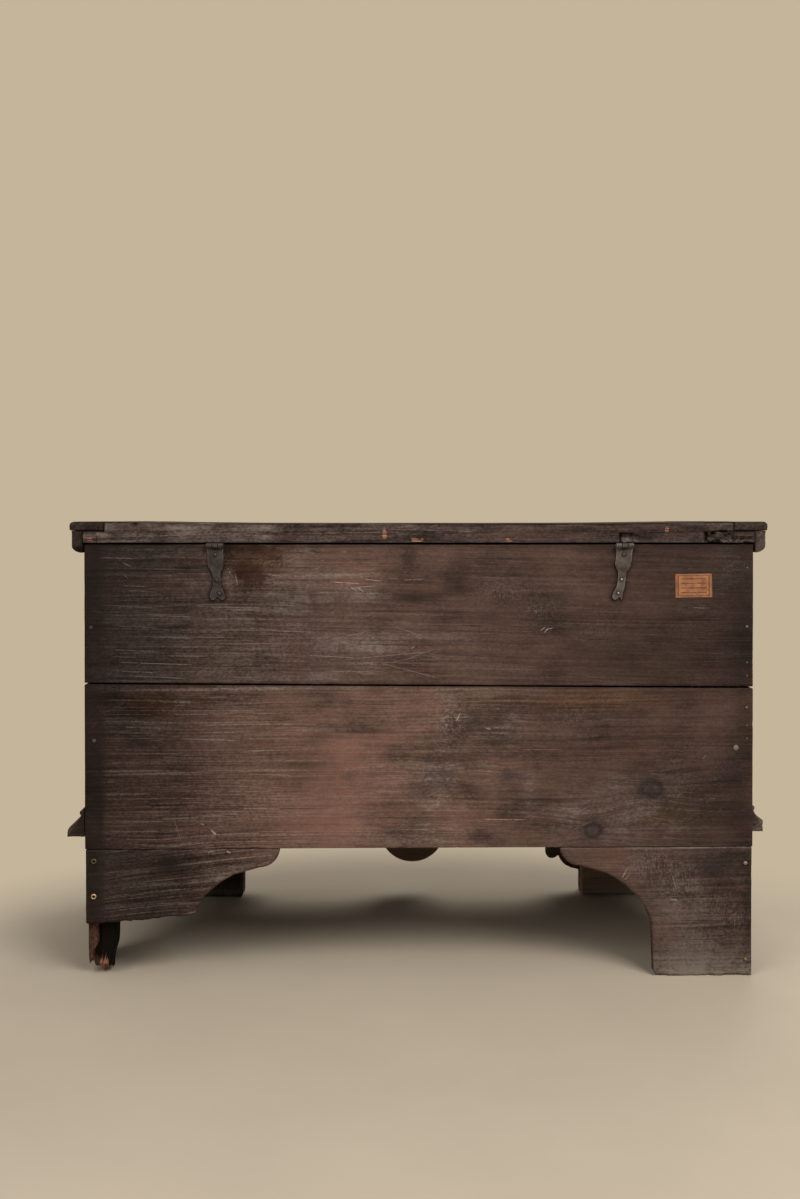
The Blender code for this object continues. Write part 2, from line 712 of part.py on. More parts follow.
for side_name, side in SIDES:
    x = side * HINGE_OFFSET
    name = f"hinge_leaf_{side_name}"
    outer = leaf_side(side < 0)
    inner = leaf_side(False)
    notch_z = AXIS_Z - LEAF_LENGTH + LEAF_NOTCH
    saddle = tongue + KNUCKLE_GAP
    saddle_z = AXIS_Z - KNUCKLE_R - 0.001
    outline = [(x + side * saddle, saddle_z), (x + side * saddle, AXIS_Z - outer[0][1])]
    outline += [(x + side * w, AXIS_Z - down) for w, down in outer]
    outline.append((x, notch_z))
    outline += [(x - side * w, AXIS_Z - down) for w, down in reversed(inner)]
    outline += [(x - side * saddle, AXIS_Z - inner[0][1]), (x - side * saddle, saddle_z)]
    leaf = prism(name, outline, "Y", *leaf_y)
    iron(leaf)
    bm = bmesh.new()
    for index in (-1, 1):
        add_rings(bm, knuckle_rings(x, index, False))
    boolean(leaf, f"knuckles_{name}", bm, "UNION")
    for number, (dx, z) in enumerate(LEAF_NAILS, 1):
        centre = (x - side * dx, z)
        holes = [(name, None, leaf_y[0] - FIT)]
        holes.append(("back_board_upper", BACK_Y + FIT, BACK_Y - HINGE_NAIL_LONG))
        nail_name = f"leaf_nail_{side_name}_{number}"
        iron(drive(nail_name, "Y", 1, centre, leaf_y[1], HINGE_NAIL, HINGE_NAIL_HEAD, HINGE_NAIL_LONG, holes))

    name = f"hinge_strap_{side_name}"
    edge = strap_side()
    outline = [(x + w, y) for w, y in edge]
    outline.append((x, BACK_Y - STRAP_LENGTH + LEAF_NOTCH))
    outline += [(x - w, y) for w, y in reversed(edge)]
    strap = prism(name, outline, "Z", *strap_z)
    iron(strap)
    LID_NODES.append(strap)
    bm = bmesh.new()
    add_rings(bm, knuckle_rings(x, 0, True))
    boolean(strap, f"knuckle_{name}", bm, "UNION")
    pitch = (STRAP_LENGTH - STRAP_NAIL_START - STRAP_NAIL_END) / (STRAP_NAILS - 1)
    for i in range(STRAP_NAILS):
        centre = (x, BACK_Y - STRAP_NAIL_START - i * pitch)
        holes = [(name, None, strap_z[1] + FIT), ("lid_plank_back", LID_Z - FIT, LID_Z + HINGE_NAIL_LONG)]
        nail_name = f"strap_nail_{side_name}_{i + 1}"
        nail = drive(nail_name, "Z", -1, centre, strap_z[0], HINGE_NAIL, HINGE_NAIL_HEAD,
                     HINGE_NAIL_LONG, holes)
        iron(nail)
        LID_NODES.append(nail)

    pin_half = 1.5 * KNUCKLE_WIDE + KNUCKLE_GAP + PIN_HEAD + FIT
    shoulder = pin_half - PIN_HEAD
    half_pin = [(pin_half, PIN_HEAD_RADIUS), (shoulder, PIN_HEAD_RADIUS), (shoulder, PIN_RADIUS)]
    stations = [(-along, radius) for along, radius in half_pin] + half_pin[::-1]
    rings = [circle_ring("X", (AXIS_Y, AXIS_Z), radius, x + along, 14) for along, radius in stations]
    bm = bmesh.new()
    add_rings(bm, rings)
    iron(link(f"hinge_pin_{side_name}", bm))

# Nails through the back boards into the ends
NAIL_HOLE = 0.004          # spare depth below the point of a nail
UPPER_NAIL = BASE_HEIGHT + BACK_LOWER + 0.41 * (CASE_HEIGHT - BACK_LOWER)
BACK_NAILS = (
    ("left", "lower", BASE_HEIGHT + 0.86 * BACK_LOWER),
    ("right", "lower", BASE_HEIGHT + 0.666 * BACK_LOWER),
    ("left", "upper", UPPER_NAIL),
    ("right", "upper", UPPER_NAIL),
)
nail_x = HALF - NAIL_EDGE
for side_name, level, z in BACK_NAILS:
    side = dict(SIDES)[side_name]
    end_level = "lower" if z < end_seam else "upper"
    joint_y = INNER_BACK - FIT / 2
    holes = [(f"back_board_{level}", None, joint_y)]
    holes.append((f"end_board_{side_name}_{end_level}", joint_y, BACK_Y - BOARD_NAIL_LONG - NAIL_HOLE))
    centre = (side * nail_x, z)
    name = f"back_nail_{side_name}_{level}"
    iron(drive(name, "Y", 1, centre, BACK_Y, BOARD_NAIL, BOARD_NAIL_HEAD, BOARD_NAIL_LONG, holes))

# Screws through the rear brackets into the side aprons
screw_x = BASE_HALF - BRACKET_THICK / 2
SCREW_LEVELS = {"left": (0.13, 0.875), "right": (0.64, 0.91)}
for side_name, side in SIDES:
    for number, part in enumerate(SCREW_LEVELS[side_name], 1):
        centre = (side * screw_x, part * BASE_HEIGHT)
        joint_y = SIDE_RUN[1] + FIT / 2
        holes = [(f"rear_bracket_{side_name}", None, joint_y),
                 (f"side_apron_{side_name}", joint_y, BACK_Y - BOARD_NAIL_LONG - NAIL_HOLE)]
        name = f"bracket_screw_{side_name}_{number}"
        brass(drive(name, "Y", 1, centre, BACK_Y, BOARD_NAIL, SCREW_HEAD, BOARD_NAIL_LONG, holes))

# Grooves, rabbets and nail holes
for node, tools in CUTS.items():
    bm = bmesh.new()
    for rings in tools:
        add_rings(bm, rings)
    boolean(bpy.data.objects[node], f"cut_{node}", bm, "DIFFERENCE")

# The lid turns on the line of the hinge pins
pivot = bpy.data.objects.new("lid_hinge_axis", None)
pivot.empty_display_size = 0.05
pivot.location = (0.0, AXIS_Y, AXIS_Z)
bpy.context.scene.collection.objects.link(pivot)
shift = Matrix.Translation((0.0, -AXIS_Y, -AXIS_Z))
for node in LID_NODES:
    node.parent = pivot
    node.matrix_parent_inverse = shift
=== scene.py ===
import math

import bmesh
import bpy
import numpy as np
from mathutils import Euler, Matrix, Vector, kdtree


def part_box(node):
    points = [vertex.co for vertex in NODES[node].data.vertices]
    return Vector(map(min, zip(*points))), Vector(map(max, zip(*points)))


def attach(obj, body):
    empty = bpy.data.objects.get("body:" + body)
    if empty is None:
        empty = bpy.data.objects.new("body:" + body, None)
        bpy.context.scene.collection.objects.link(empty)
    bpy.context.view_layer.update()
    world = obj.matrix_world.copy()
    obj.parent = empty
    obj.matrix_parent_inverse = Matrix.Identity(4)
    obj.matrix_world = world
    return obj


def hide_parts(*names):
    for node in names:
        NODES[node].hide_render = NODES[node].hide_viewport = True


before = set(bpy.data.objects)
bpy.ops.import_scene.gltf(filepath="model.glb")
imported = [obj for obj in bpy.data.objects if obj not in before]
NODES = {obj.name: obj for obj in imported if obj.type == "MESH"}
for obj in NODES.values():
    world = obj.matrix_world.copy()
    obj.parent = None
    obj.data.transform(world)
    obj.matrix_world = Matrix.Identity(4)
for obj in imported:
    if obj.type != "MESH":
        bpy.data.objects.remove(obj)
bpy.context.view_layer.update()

# Metres in the chest's frame: the front faces -Y, the hinged back +Y, and left is -X as seen from the front.
# A patch on the back is a row of X, Z, half width, half height and amount.
# The x, y and z of a piece are views of its points, so a change to them moves the points.

# Places taken from the solids
BACK_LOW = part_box("back_board_lower")[0].z
BACK_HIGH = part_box("back_board_upper")[1].z
BACK_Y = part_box("back_board_lower")[1].y
FRONT_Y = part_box("front_board_lower")[0].y
LID_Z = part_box("lid_plank_back")[0].z
LID_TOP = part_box("lid_cleat_left")[1].z
LAYER_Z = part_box("lid_cleat_left")[0].z    # foot of the cleats, let into the lid's upper half
CLEAT_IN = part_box("lid_cleat_right")[0].x
FIT = 0.0003               # gap between pieces that touch
SEAM = 0.5565              # height of the seam in the back, at the middle
SEAM_SLOPE = 0.00787       # rise of the seam for each metre along X
SEAM_GAP = 0.003
SIDES = ("left", "right")


# Repeatable noise and soft shapes
def lattice_value(i, j, k, seed):
    """Number from 0 to 1 for each point of a grid."""
    h = (i * 374761393 + j * 668265263 + k * 1103515245 + seed * 974711) & 0xFFFFFFFF
    h = ((h ^ (h >> 13)) * 1274126177) & 0xFFFFFFFF
    return ((h ^ (h >> 16)) & 0xFFFFFF) / 0xFFFFFF


def noise(points, scale, seed):
    """Smooth noise from -1 to 1; scale is in waves per metre, one number or three."""
    q = np.asarray(points) * np.asarray(scale, float) + 61.7
    cell = np.floor(q).astype(np.int64)
    f = q - cell
    f = f * f * (3 - 2 * f)
    total = np.zeros(len(q))
    for corner in range(8):
        step = np.array([corner & 1, corner >> 1 & 1, corner >> 2])
        weight = np.where(step, f, 1 - f).prod(1)
        at = cell + step
        total += weight * lattice_value(at[:, 0], at[:, 1], at[:, 2], seed)
    return 2 * total - 1


def fractal(points, scale, octaves, seed):
    """Noise with finer and fainter waves added."""
    total = np.zeros(len(points))
    for i in range(octaves):
        total += noise(points, np.asarray(scale, float) * 2 ** i, seed + i) * 0.5 ** i
    return total / (2 - 0.5 ** (octaves - 1))


def smooth(value, low, high):
    """Eased step from 0 at low to 1 at high."""
    t = np.clip((value - low) / (high - low), 0, 1)
    return t * t * (3 - 2 * t)


def bell(value, width):
    """1 at zero, dying away over a width on both sides."""
    return np.exp(-(value / width) ** 2)


def fade(distance, length):
    """1 at no distance, dying away over a length."""
    return np.exp(-np.clip(distance, 0, 1) / length)


def oval(points, x, z, half_x, half_z):
    """Squared distance from a place on the back, 1 on the rim of an oval."""
    return ((points[:, 0] - x) / half_x) ** 2 + ((points[:, 2] - z) / half_z) ** 2


def blobs(points, patches, seed):
    """Sum of soft ragged patches on the back."""
    ragged = np.clip(1 + 0.9 * fractal(points, (14, 30, 30), 3, 50 + seed), 0.3, 2.0)
    total = np.zeros(len(points))
    for *place, amount in patches:
        total += amount * np.exp(-oval(points, *place) * ragged)
    return total


FULL_KNOT = 0.019          # smaller knots are fainter
HEARTLESS_KNOT = 0.0215    # wider ones are dark throughout


def knot_rings(points, knots, seed):
    """Dark rings round a paler heart, for knots given by X, Z and size."""
    warp = 1 + 0.22 * fractal(points, 60, 3, seed)
    total = np.zeros(len(points))
    for x, z, size in knots:
        d = np.sqrt(oval(points, x, z, 1.15 * size, 0.85 * size)) * warp
        rings = 0.55 + 0.45 * np.cos(7.5 * d)
        heart = 0.62 if size > HEARTLESS_KNOT else 0.16
        ring = heart + (1 - heart) * bell(d - 0.72, 0.30)
        total += min(1, (size / FULL_KNOT) ** 2) * np.exp(-(d / 1.1) ** 4) * ring * (0.70 + 0.30 * rings)
    return total


# Meshes
CROWD = np.array([0, 0.0005, 0.0011, 0.0019, 0.003, 0.0046, 0.007, 0.011])
SHARP = math.radians(32)


def quads_to_mesh(name, points, quads):
    """Mesh from arrays of points and four-cornered faces."""
    mesh = bpy.data.meshes.new(name)
    mesh.vertices.add(len(points))
    mesh.vertices.foreach_set("co", np.asarray(points, np.float32).ravel())
    mesh.loops.add(4 * len(quads))
    mesh.loops.foreach_set("vertex_index", np.asarray(quads, np.int32).ravel())
    mesh.polygons.add(len(quads))
    mesh.polygons.foreach_set("loop_start", np.arange(0, 4 * len(quads), 4, dtype=np.int32))
    mesh.update(calc_edges=True)
    mesh.validate()
    return mesh


def spaced(low, high, step, extra):
    """Grid lines from low to high, crowded towards both ends, with some extra ones."""
    crowd = CROWD * min(1.0, (high - low) / (2.6 * CROWD[-1]))
    inside = (low + crowd[-1], high - crowd[-1])
    count = max(2, int(round((inside[1] - inside[0]) / step)) + 1)
    lines = np.concatenate([low + crowd[:-1], np.linspace(*inside, count), high - crowd[:-1], extra])
    return np.unique(np.round(lines, 7))


def lattice(xs, ys, zs):
    """Points and quads of the surface of a box grid."""
    size = (len(xs), len(ys), len(zs))
    shell = np.ones(size, bool)
    shell[1:-1, 1:-1, 1:-1] = False
    index = np.full(size, -1)
    index[shell] = np.arange(shell.sum())
    i, j, k = np.nonzero(shell)
    quads = []
    for sheet, order in ((index[0], -1), (index[-1], 1), (index[:, 0], 1), (index[:, -1], -1),
                         (index[:, :, 0], -1), (index[:, :, -1], 1)):
        made = np.stack([sheet[:-1, :-1], sheet[1:, :-1], sheet[1:, 1:], sheet[:-1, 1:]], -1)
        quads.append(made.reshape(-1, 4)[:, ::order])
    return np.stack([xs[i], ys[j], zs[k]], 1), np.concatenate(quads)


def belts(index):
    """Quads between the closed rows of a grid of points."""
    after = np.roll(index, -1, 1)
    return np.stack([index[:-1], after[:-1], after[1:], index[1:]], -1).reshape(-1, 4)


def rounded(points, low, high, radius):
    """Points of a box pulled onto worn arrises, and the way out at each point."""
    r = radius[:, None]
    core = np.clip(points, low + r, high - r)
    away = points - core
    length = np.maximum(np.linalg.norm(away, axis=1, keepdims=True), 1e-9)
    return core + away / length * r, away / length


def edge_gap(points, low, high):
    """Distance from each point of a box to its nearest edge."""
    near = np.minimum(points - low, high - points)
    return np.sort(near, axis=1)[:, 1]


class Skin:
    """Surface of a piece while it is being worn: points, faces, ways out and distance to the nearest edge."""

    def __init__(self, points, faces, out=None, edge=None):
        self.points = points
        self.faces = faces
        self.out = out
        self.edge = edge

    def sink(self, depth):
        """Wear the surface in by a depth at each point."""
        self.points = self.points - self.out * np.maximum(depth, 0)[:, None]


def box_skin(low, high, step, seed, radius, chip, extra=((), (), ())):
    """Board with worn and chipped arrises."""
    low, high = np.array(low, float), np.array(high, float)
    points, quads = lattice(*[spaced(a, b, s, e) for a, b, s, e in zip(low, high, step, extra)])
    edge = edge_gap(points, low, high)
    rough = np.clip(fractal(points, 34, 3, seed), -0.9, 0.9)
    chips = smooth(fractal(points, 55, 2, seed + 7), 0.34, 0.62)
    size = radius * (1 + 0.7 * rough) + chip * chips
    limit = 0.45 * (high - low).min()
    points, out = rounded(points, low, high, np.clip(size, 0.0005, limit))
    skin = Skin(points, quads, out, edge)
    skin.sink(0.00025 * (1 + fractal(points, 9, 3, seed + 20)))
    return skin


def search_tree(points):
    """Finds the nearest of some points."""
    tree = kdtree.KDTree(len(points))
    for i, point in enumerate(points):
        tree.insert(point, i)
    tree.balance()
    return tree


def joined(node):
    """Copy of a solid for editing, with doubled points joined."""
    bm = bmesh.new()
    bm.from_mesh(NODES[node].data)
    bmesh.ops.remove_doubles(bm, verts=bm.verts, dist=1e-5)
    return bm


def sharp_tree(node):
    """Search tree of points along the sharp edges of a solid."""
    bm = joined(node)
    found = []
    for edge in bm.edges:
        if len(edge.link_faces) == 2 and edge.calc_face_angle(0) > SHARP:
            a, b = edge.verts[0].co, edge.verts[1].co
            steps = max(1, int((b - a).length / 0.002))
            found += [a.lerp(b, t / steps) for t in range(steps + 1)]
    bm.free()
    return search_tree(found)


def layer(items, key, width, kind):
    """Numbers of a mesh layer in rows."""
    found = np.zeros(len(items) * width, kind)
    items.foreach_get(key, found)
    return found.reshape(-1, width)


def solid_skin(node, voxel, seed, soften, wear):
    """Even mesh of a solid of any shape, with its edges worn."""
    stand = bpy.data.objects.new("grid", NODES[node].data)
    bpy.context.scene.collection.objects.link(stand)
    remesh = stand.modifiers.new("grid", "REMESH")
    remesh.mode = "VOXEL"
    remesh.voxel_size = voxel
    ease = stand.modifiers.new("ease", "SMOOTH")
    ease.factor = 0.5
    ease.iterations = soften
    made = bpy.data.meshes.new_from_object(stand.evaluated_get(bpy.context.evaluated_depsgraph_get()))
    bpy.data.objects.remove(stand)
    points = layer(made.vertices, "co", 3, np.float32).astype(float)
    out = layer(made.vertex_normals, "vector", 3, np.float32).astype(float)
    quads = layer(made.loops, "vertex_index", 1, np.int32).reshape(-1, 4)
    bpy.data.meshes.remove(made)
    low, high = (np.array(v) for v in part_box(node))
    points = low + (points - points.min(0)) * (high - low) / (points.max(0) - points.min(0))
    tree = sharp_tree(node)
    skin = Skin(points, quads, out, np.array([tree.find(p)[2] for p in points]))
    chips = smooth(fractal(points, 60, 2, seed + 7), 0.3, 0.6)
    depth = wear * bell(skin.edge, 2.2 * wear) * (0.35 + 0.4 * fractal(points, 40, 3, seed) + 1.1 * chips)
    depth += 0.2 * wear * (1 + fractal(points, 12, 3, seed + 20))
    if "cleat" in node:
        depth *= smooth(points[:, 2], low[2] + 0.001, low[2] + 0.004)
    skin.sink(depth)
    return skin


def section_corners(node, axis, across, middle):
    """Corners of a solid's cross-section at a place along an axis, in order round it."""
    bm = joined(node)
    plane, normal = Vector((0, 0, 0)), Vector((0, 0, 0))
    plane[axis], normal[axis] = middle, 1
    everything = bm.verts[:] + bm.edges[:] + bm.faces[:]
    cut = bmesh.ops.bisect_plane(bm, geom=everything, plane_co=plane, plane_no=normal)
    links = {}
    for edge in cut["geom_cut"]:
        if isinstance(edge, bmesh.types.BMEdge):
            a, b = edge.verts
            links.setdefault(a, []).append(b)
            links.setdefault(b, []).append(a)
    start = min(links, key=lambda v: (v.co[across[1]], v.co[across[0]]))
    ring, last = [start], None
    while True:
        following = [v for v in links[ring[-1]] if v is not last and (v is not start or len(ring) > 2)]
        if not following or following[0] is start:
            break
        last = ring[-1]
        ring.append(following[0])
    corners = np.array([[v.co[a] for a in across] for v in ring])
    bm.free()
    return corners


OUTLINE_STEP = 0.004
CORNER_STEP = 0.0009
RUN_STEP = 0.006
RUN_WEAR = 0.0006
END_RINGS = (0.84, 0.66, 0.48, 0.30)


def fine_outline(corners, ends):
    """Close points round a section, where each starts and stops, and whether it is a sharp corner."""
    fine, reach, sharp = [], [], []
    count = len(corners)
    for i in range(count):
        a, b = corners[i], corners[(i + 1) % count]
        way, before = b - a, a - corners[i - 1]
        length = np.linalg.norm(way)
        turn = math.atan2(before[0] * way[1] - before[1] * way[0], before @ way)
        shares = np.linspace(0, 1, max(1, int(math.ceil(length / OUTLINE_STEP))) + 1)[:-1]
        if length > OUTLINE_STEP:
            shares = np.unique(np.concatenate([shares, [CORNER_STEP / length, 1 - CORNER_STEP / length]]))
        for t in shares:
            fine.append(a + way * t)
            reach.append(ends[i] + (ends[(i + 1) % count] - ends[i]) * t)
            sharp.append(abs(turn) > SHARP and t == 0)
    area = sum(p[0] * q[1] - p[1] * q[0] for p, q in zip(fine, fine[1:] + fine[:1]))
    order = -1 if area < 0 else 1
    return np.array(fine)[::order], np.array(reach)[::order], np.array(sharp)[::order]


def run_skin(node, axis, seed):
    """Length of moulding: the profile of the solid, drawn along an axis in many steps."""
    co = np.array([v.co for v in NODES[node].data.vertices])
    across = [a for a in range(3) if a != axis]
    first, last = co[:, axis].min(), co[:, axis].max()
    length = last - first
    # The far ends of the solid's own edges give the mitre; other points only cross flat faces
    corners, ends = [], []
    for corner in section_corners(node, axis, across, (first + last) / 2):
        close = np.abs(co[:, across] - corner).max(1) < 2e-4
        if close.any():
            corners.append(corner)
            ends.append((co[close, axis].min(), co[close, axis].max()))
    fine, reach, sharp = fine_outline(np.array(corners), np.array(ends))
    tangent = np.roll(fine, -1, 0) - np.roll(fine, 1, 0)
    tangent /= np.maximum(np.linalg.norm(tangent, axis=1, keepdims=True), 1e-9)
    gap = np.linalg.norm(fine[:, None] - fine[None, sharp], axis=2).min(1)
    even = np.linspace(0, 1, int(length / RUN_STEP) + 2)
    stations = np.unique(np.concatenate([even, CROWD / length, 1 - CROWD / length]))[:, None]
    n, m = len(stations), len(fine)
    points, out = np.zeros((n, m, 3)), np.zeros((n, m, 3))
    points[:, :, axis] = reach[:, 0] + (reach[:, 1] - reach[:, 0]) * stations
    points[:, :, across] = fine
    out[:, :, across] = np.stack([tangent[:, 1], -tangent[:, 0]], 1)
    edge = np.minimum(gap, np.minimum(stations, 1 - stations) * length).ravel()
    points, out = points.reshape(-1, 3), out.reshape(-1, 3)
    index = np.arange(n * m).reshape(n, m)
    way = -1 if axis == 1 else 1
    faces = [tuple(q) for q in belts(index)[:, ::way].tolist()]
    for ring, order in ((index[0], -way), (index[-1], way)):
        if node.startswith("lid"):
            # Rings on the end face, to carry its marks
            rim = points[ring]
            heart = rim.mean(0)
            for share in END_RINGS:
                inner = len(points) + np.arange(m)
                points = np.concatenate([points, heart + (rim - heart) * share])
                out = np.concatenate([out, np.zeros((m, 3))])
                edge = np.concatenate([edge, np.full(m, 0.01)])
                faces += [tuple(q) for q in belts(np.stack([ring, inner]))[:, ::order].tolist()]
                ring = inner
        faces.append(tuple(ring.tolist()[::order]))
    skin = Skin(points, faces, out, edge)
    chips = smooth(fractal(points, 45, 2, seed + 7), 0.3, 0.6)
    depth = bell(edge, 2.5 * RUN_WEAR) * (0.5 + 0.4 * fractal(points, 30, 3, seed) + 2.2 * chips)
    depth = RUN_WEAR * depth + 0.35 * RUN_WEAR * (1 + fractal(points, 14, 3, seed + 20))
    if node.startswith("lid"):
        depth *= smooth(co[:, 2].max() - points[:, 2], 0.001, 0.005)
    skin.sink(depth)
    return skin


# Surface facts that the materials read
AXES = {"X": (0, 1, 2), "Y": (1, 0, 2), "Z": (2, 0, 1)}
GROUPS = (("tone", "dark", "red"), ("pale", "raw", "dust"), ("scuff", "crackle", "bare"))


class Marks(dict):
    """Values at each point of a piece, by name."""

    def most(self, key, value):
        """Raise a mark to a value where it is lower."""
        self[key] = np.maximum(self[key], value)


def grain_of(points, axis, seed, pith, slope, knots):
    """Along the grain, out from the pith and round it, for each point, bent round any knots."""
    along, across, deep = AXES[axis]
    centre = (points.min(0) + points.max(0)) / 2
    u = points[:, along]
    v = points[:, across] - centre[across]
    w = points[:, deep] - centre[deep]
    flow = np.stack([u, v, w], 1)
    sway = 0.010 * noise(flow, (1.3, 3, 3), seed) + 0.003 * noise(flow, (6, 11, 11), seed + 1)
    w = w + sway + slope * u
    v = v + 0.006 * noise(flow, (1.1, 2, 2), seed + 2)
    for x, z, size in knots:
        du = (points[:, 0] - x) / (2.6 * size)
        dw = (points[:, 2] - z) / size
        w = w + 0.8 * size * np.tanh(1.4 * dw) * np.exp(-0.5 * (du * du + 0.5 * dw * dw))
    ring = np.hypot(v - pith[0], w - pith[1])
    turn = np.arctan2(v - pith[0], w - pith[1]) * abs(pith[1])
    return np.stack([u + 3.1 * seed, ring + 0.7 * seed, turn], 1)


def facts(skin, axis, seed, pith, slope=0.0, knots=()):
    """Plain starting values for the marks on a piece."""
    p = skin.points
    tone = 0.62 + 0.22 * fractal(p, (2.5, 4, 5), 3, seed + 30)
    return Marks(
        grain=grain_of(p, axis, seed, pith, slope, knots),
        tone=tone * (1 + 0.25 * bell(skin.edge, 0.002)),
        dark=0.25 * smooth(fractal(p, (5, 9, 9), 3, seed + 31), 0.1, 0.6),
        red=0.35 * smooth(fractal(p, (3, 7, 7), 2, seed + 32), 0.0, 0.5),
        pale=0.25 + 0.25 * fractal(p, (3, 6, 6), 2, seed + 33),
        raw=0.75 * bell(skin.edge, 0.0016) * smooth(fractal(p, 30, 2, seed + 34), 0.0, 0.5),
        dust=np.zeros(len(p)),
        scuff=0.3 * smooth(fractal(p, (4, 7, 7), 3, seed + 35), 0.1, 0.6),
        crackle=np.zeros(len(p)),
        bare=np.zeros(len(p)),
    )


def write_vectors(mesh, name, columns):
    """Three values for each point of a mesh, under a name."""
    vectors = mesh.attributes.new(name, "FLOAT_VECTOR", "POINT")
    vectors.data.foreach_set("vector", np.stack(columns, 1).astype(np.float32).ravel())


def piece(name, skin, body, slot, material, marks=None, crease=42):
    """Make the object, say what it rides on and stands for, and write its surface facts."""
    if isinstance(skin.faces, np.ndarray):
        mesh = quads_to_mesh(name, skin.points, skin.faces)
    else:
        mesh = bpy.data.meshes.new(name)
        mesh.from_pydata(skin.points.tolist(), [], skin.faces)
        mesh.update()
    if marks:
        write_vectors(mesh, "grain", marks["grain"].T)
        for group in GROUPS:
            write_vectors(mesh, "_".join(group), [np.clip(marks[key], 0, 2) for key in group])
    mesh.shade_smooth()
    mesh.set_sharp_from_angle(angle=math.radians(crease))
    mesh.materials.append(material)
    obj = bpy.data.objects.new(name, mesh)
    bpy.context.scene.collection.objects.link(obj)
    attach(obj, body)
    if name in NODES:
        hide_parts(name)
    return obj


# Materials
class Wire:
    """Output of a shader node. Arithmetic on wires adds Math nodes."""

    def __init__(self, graph, socket):
        self.graph = graph
        self.socket = socket

    def __add__(self, other):
        return self.graph.math("ADD", self, other)

    def __sub__(self, other):
        return self.graph.math("SUBTRACT", self, other)

    def __mul__(self, other):
        return self.graph.math("MULTIPLY", self, other)

    def __abs__(self):
        return self.graph.math("ABSOLUTE", self)

    def split(self):
        """X, Y and Z of a vector."""
        made = self.graph.node("SeparateXYZ", {0: self}).socket.node
        return [Wire(self.graph, socket) for socket in made.outputs]

    def turn(self, angle):
        """Vector turned about Y."""
        return self.graph.node("Mapping", {"Vector": self, "Rotation": (0.0, angle, 0.0)})

    def local(self, x, z, **more):
        """Vector measured from a place on the back, turned or scaled."""
        values = {"Vector": self, "Location": (x, 0.0, z), **more}
        return self.graph.node("Mapping", values, vector_type="TEXTURE")

    def noise(self, scale, detail, rough):
        """Noise with one scale, or with one for each axis."""
        vector = self
        if isinstance(scale, tuple):
            vector = self.graph.node("VectorMath", {0: self, 1: scale}, operation="MULTIPLY")
            scale = 1.0
        values = {"Vector": vector, "Scale": scale, "Detail": detail, "Roughness": rough}
        return self.graph.node("TexNoise", values)

    def band(self, low, high, start=0.0, end=1.0):
        """Eased step from start at low to end at high."""
        values = {"Value": self, "From Min": low, "From Max": high, "To Min": start, "To Max": end}
        return self.graph.node("MapRange", values, interpolation_type="SMOOTHSTEP")

    def ridge(self, width):
        """Thin lines where a noise crosses its middle."""
        return abs(self - 0.5).band(0.0, width, 1.0, 0.0)

    def mix(self, share, colour, blend="MIX"):
        """This colour with a share of another laid over it."""
        other = colour if isinstance(colour, Wire) else (*colour, 1.0)
        return self.graph.node("Mix", {0: share, 6: self, 7: other}, 2, data_type="RGBA", blend_type=blend)

    def tint(self, colour):
        """This colour times another."""
        return self.mix(1.0, colour, "MULTIPLY")

    def ramp(self, *stops):
        """Colour along a value; the first two stops are its ends."""
        made = self.graph.node("ValToRGB", {0: self})
        points = made.socket.node.color_ramp.elements
        for index, (at, colour) in enumerate(stops):
            point = points[index] if index < 2 else points.new(at)
            point.position = at
            point.color = (*colour, 1.0)
        return made

    def bump(self, strength, distance):
        """Way out of a surface with this height."""
        return self.graph.node("Bump", {"Height": self, "Strength": strength, "Distance": distance})


class Graph:
    """Writes the node tree of a material or of the world."""

    def __init__(self, owner):
        owner.use_nodes = True
        self.owner = owner
        self.tree = owner.node_tree

    def put(self, target, value):
        """Link a wire to an input, or set the input's value."""
        if isinstance(value, Wire):
            self.tree.links.new(value.socket, target)
        else:
            target.default_value = value

    def put_into(self, node, values):
        """Set or link inputs of a node that is there from the start."""
        for key, value in values.items():
            self.put(self.tree.nodes[node].inputs[key], value)

    def node(self, kind, values, output=0, **settings):
        """Wire from one output of a new node."""
        made = self.tree.nodes.new("ShaderNode" + kind)
        for key, value in settings.items():
            setattr(made, key, value)
        for key, value in values.items():
            self.put(made.inputs[key], value)
        return Wire(self, made.outputs[output])

    def math(self, operation, *values):
        """Wire from a Math node."""
        return self.node("Math", dict(enumerate(values)), operation=operation)

    def attribute(self, name):
        """Values written on a mesh by write_vectors."""
        return self.node("Attribute", {}, "Vector", attribute_name=name)

    def place(self):
        """Place in the chest's frame."""
        return self.node("TexCoord", {}, "Object")

    def finish(self, colour, rough, normal, metallic, specular):
        """Join up the surface and hand over the material."""
        self.put_into("Principled BSDF", {"Base Color": colour, "Roughness": rough, "Normal": normal,
                                          "Metallic": metallic, "Specular IOR Level": specular})
        return self.owner


def grey(level):
    """Colour with equal parts of red, green and blue."""
    return (level, level, level)


def times(factor, colour):
    """Colour made lighter or darker by a factor."""
    return tuple(factor * c for c in colour)


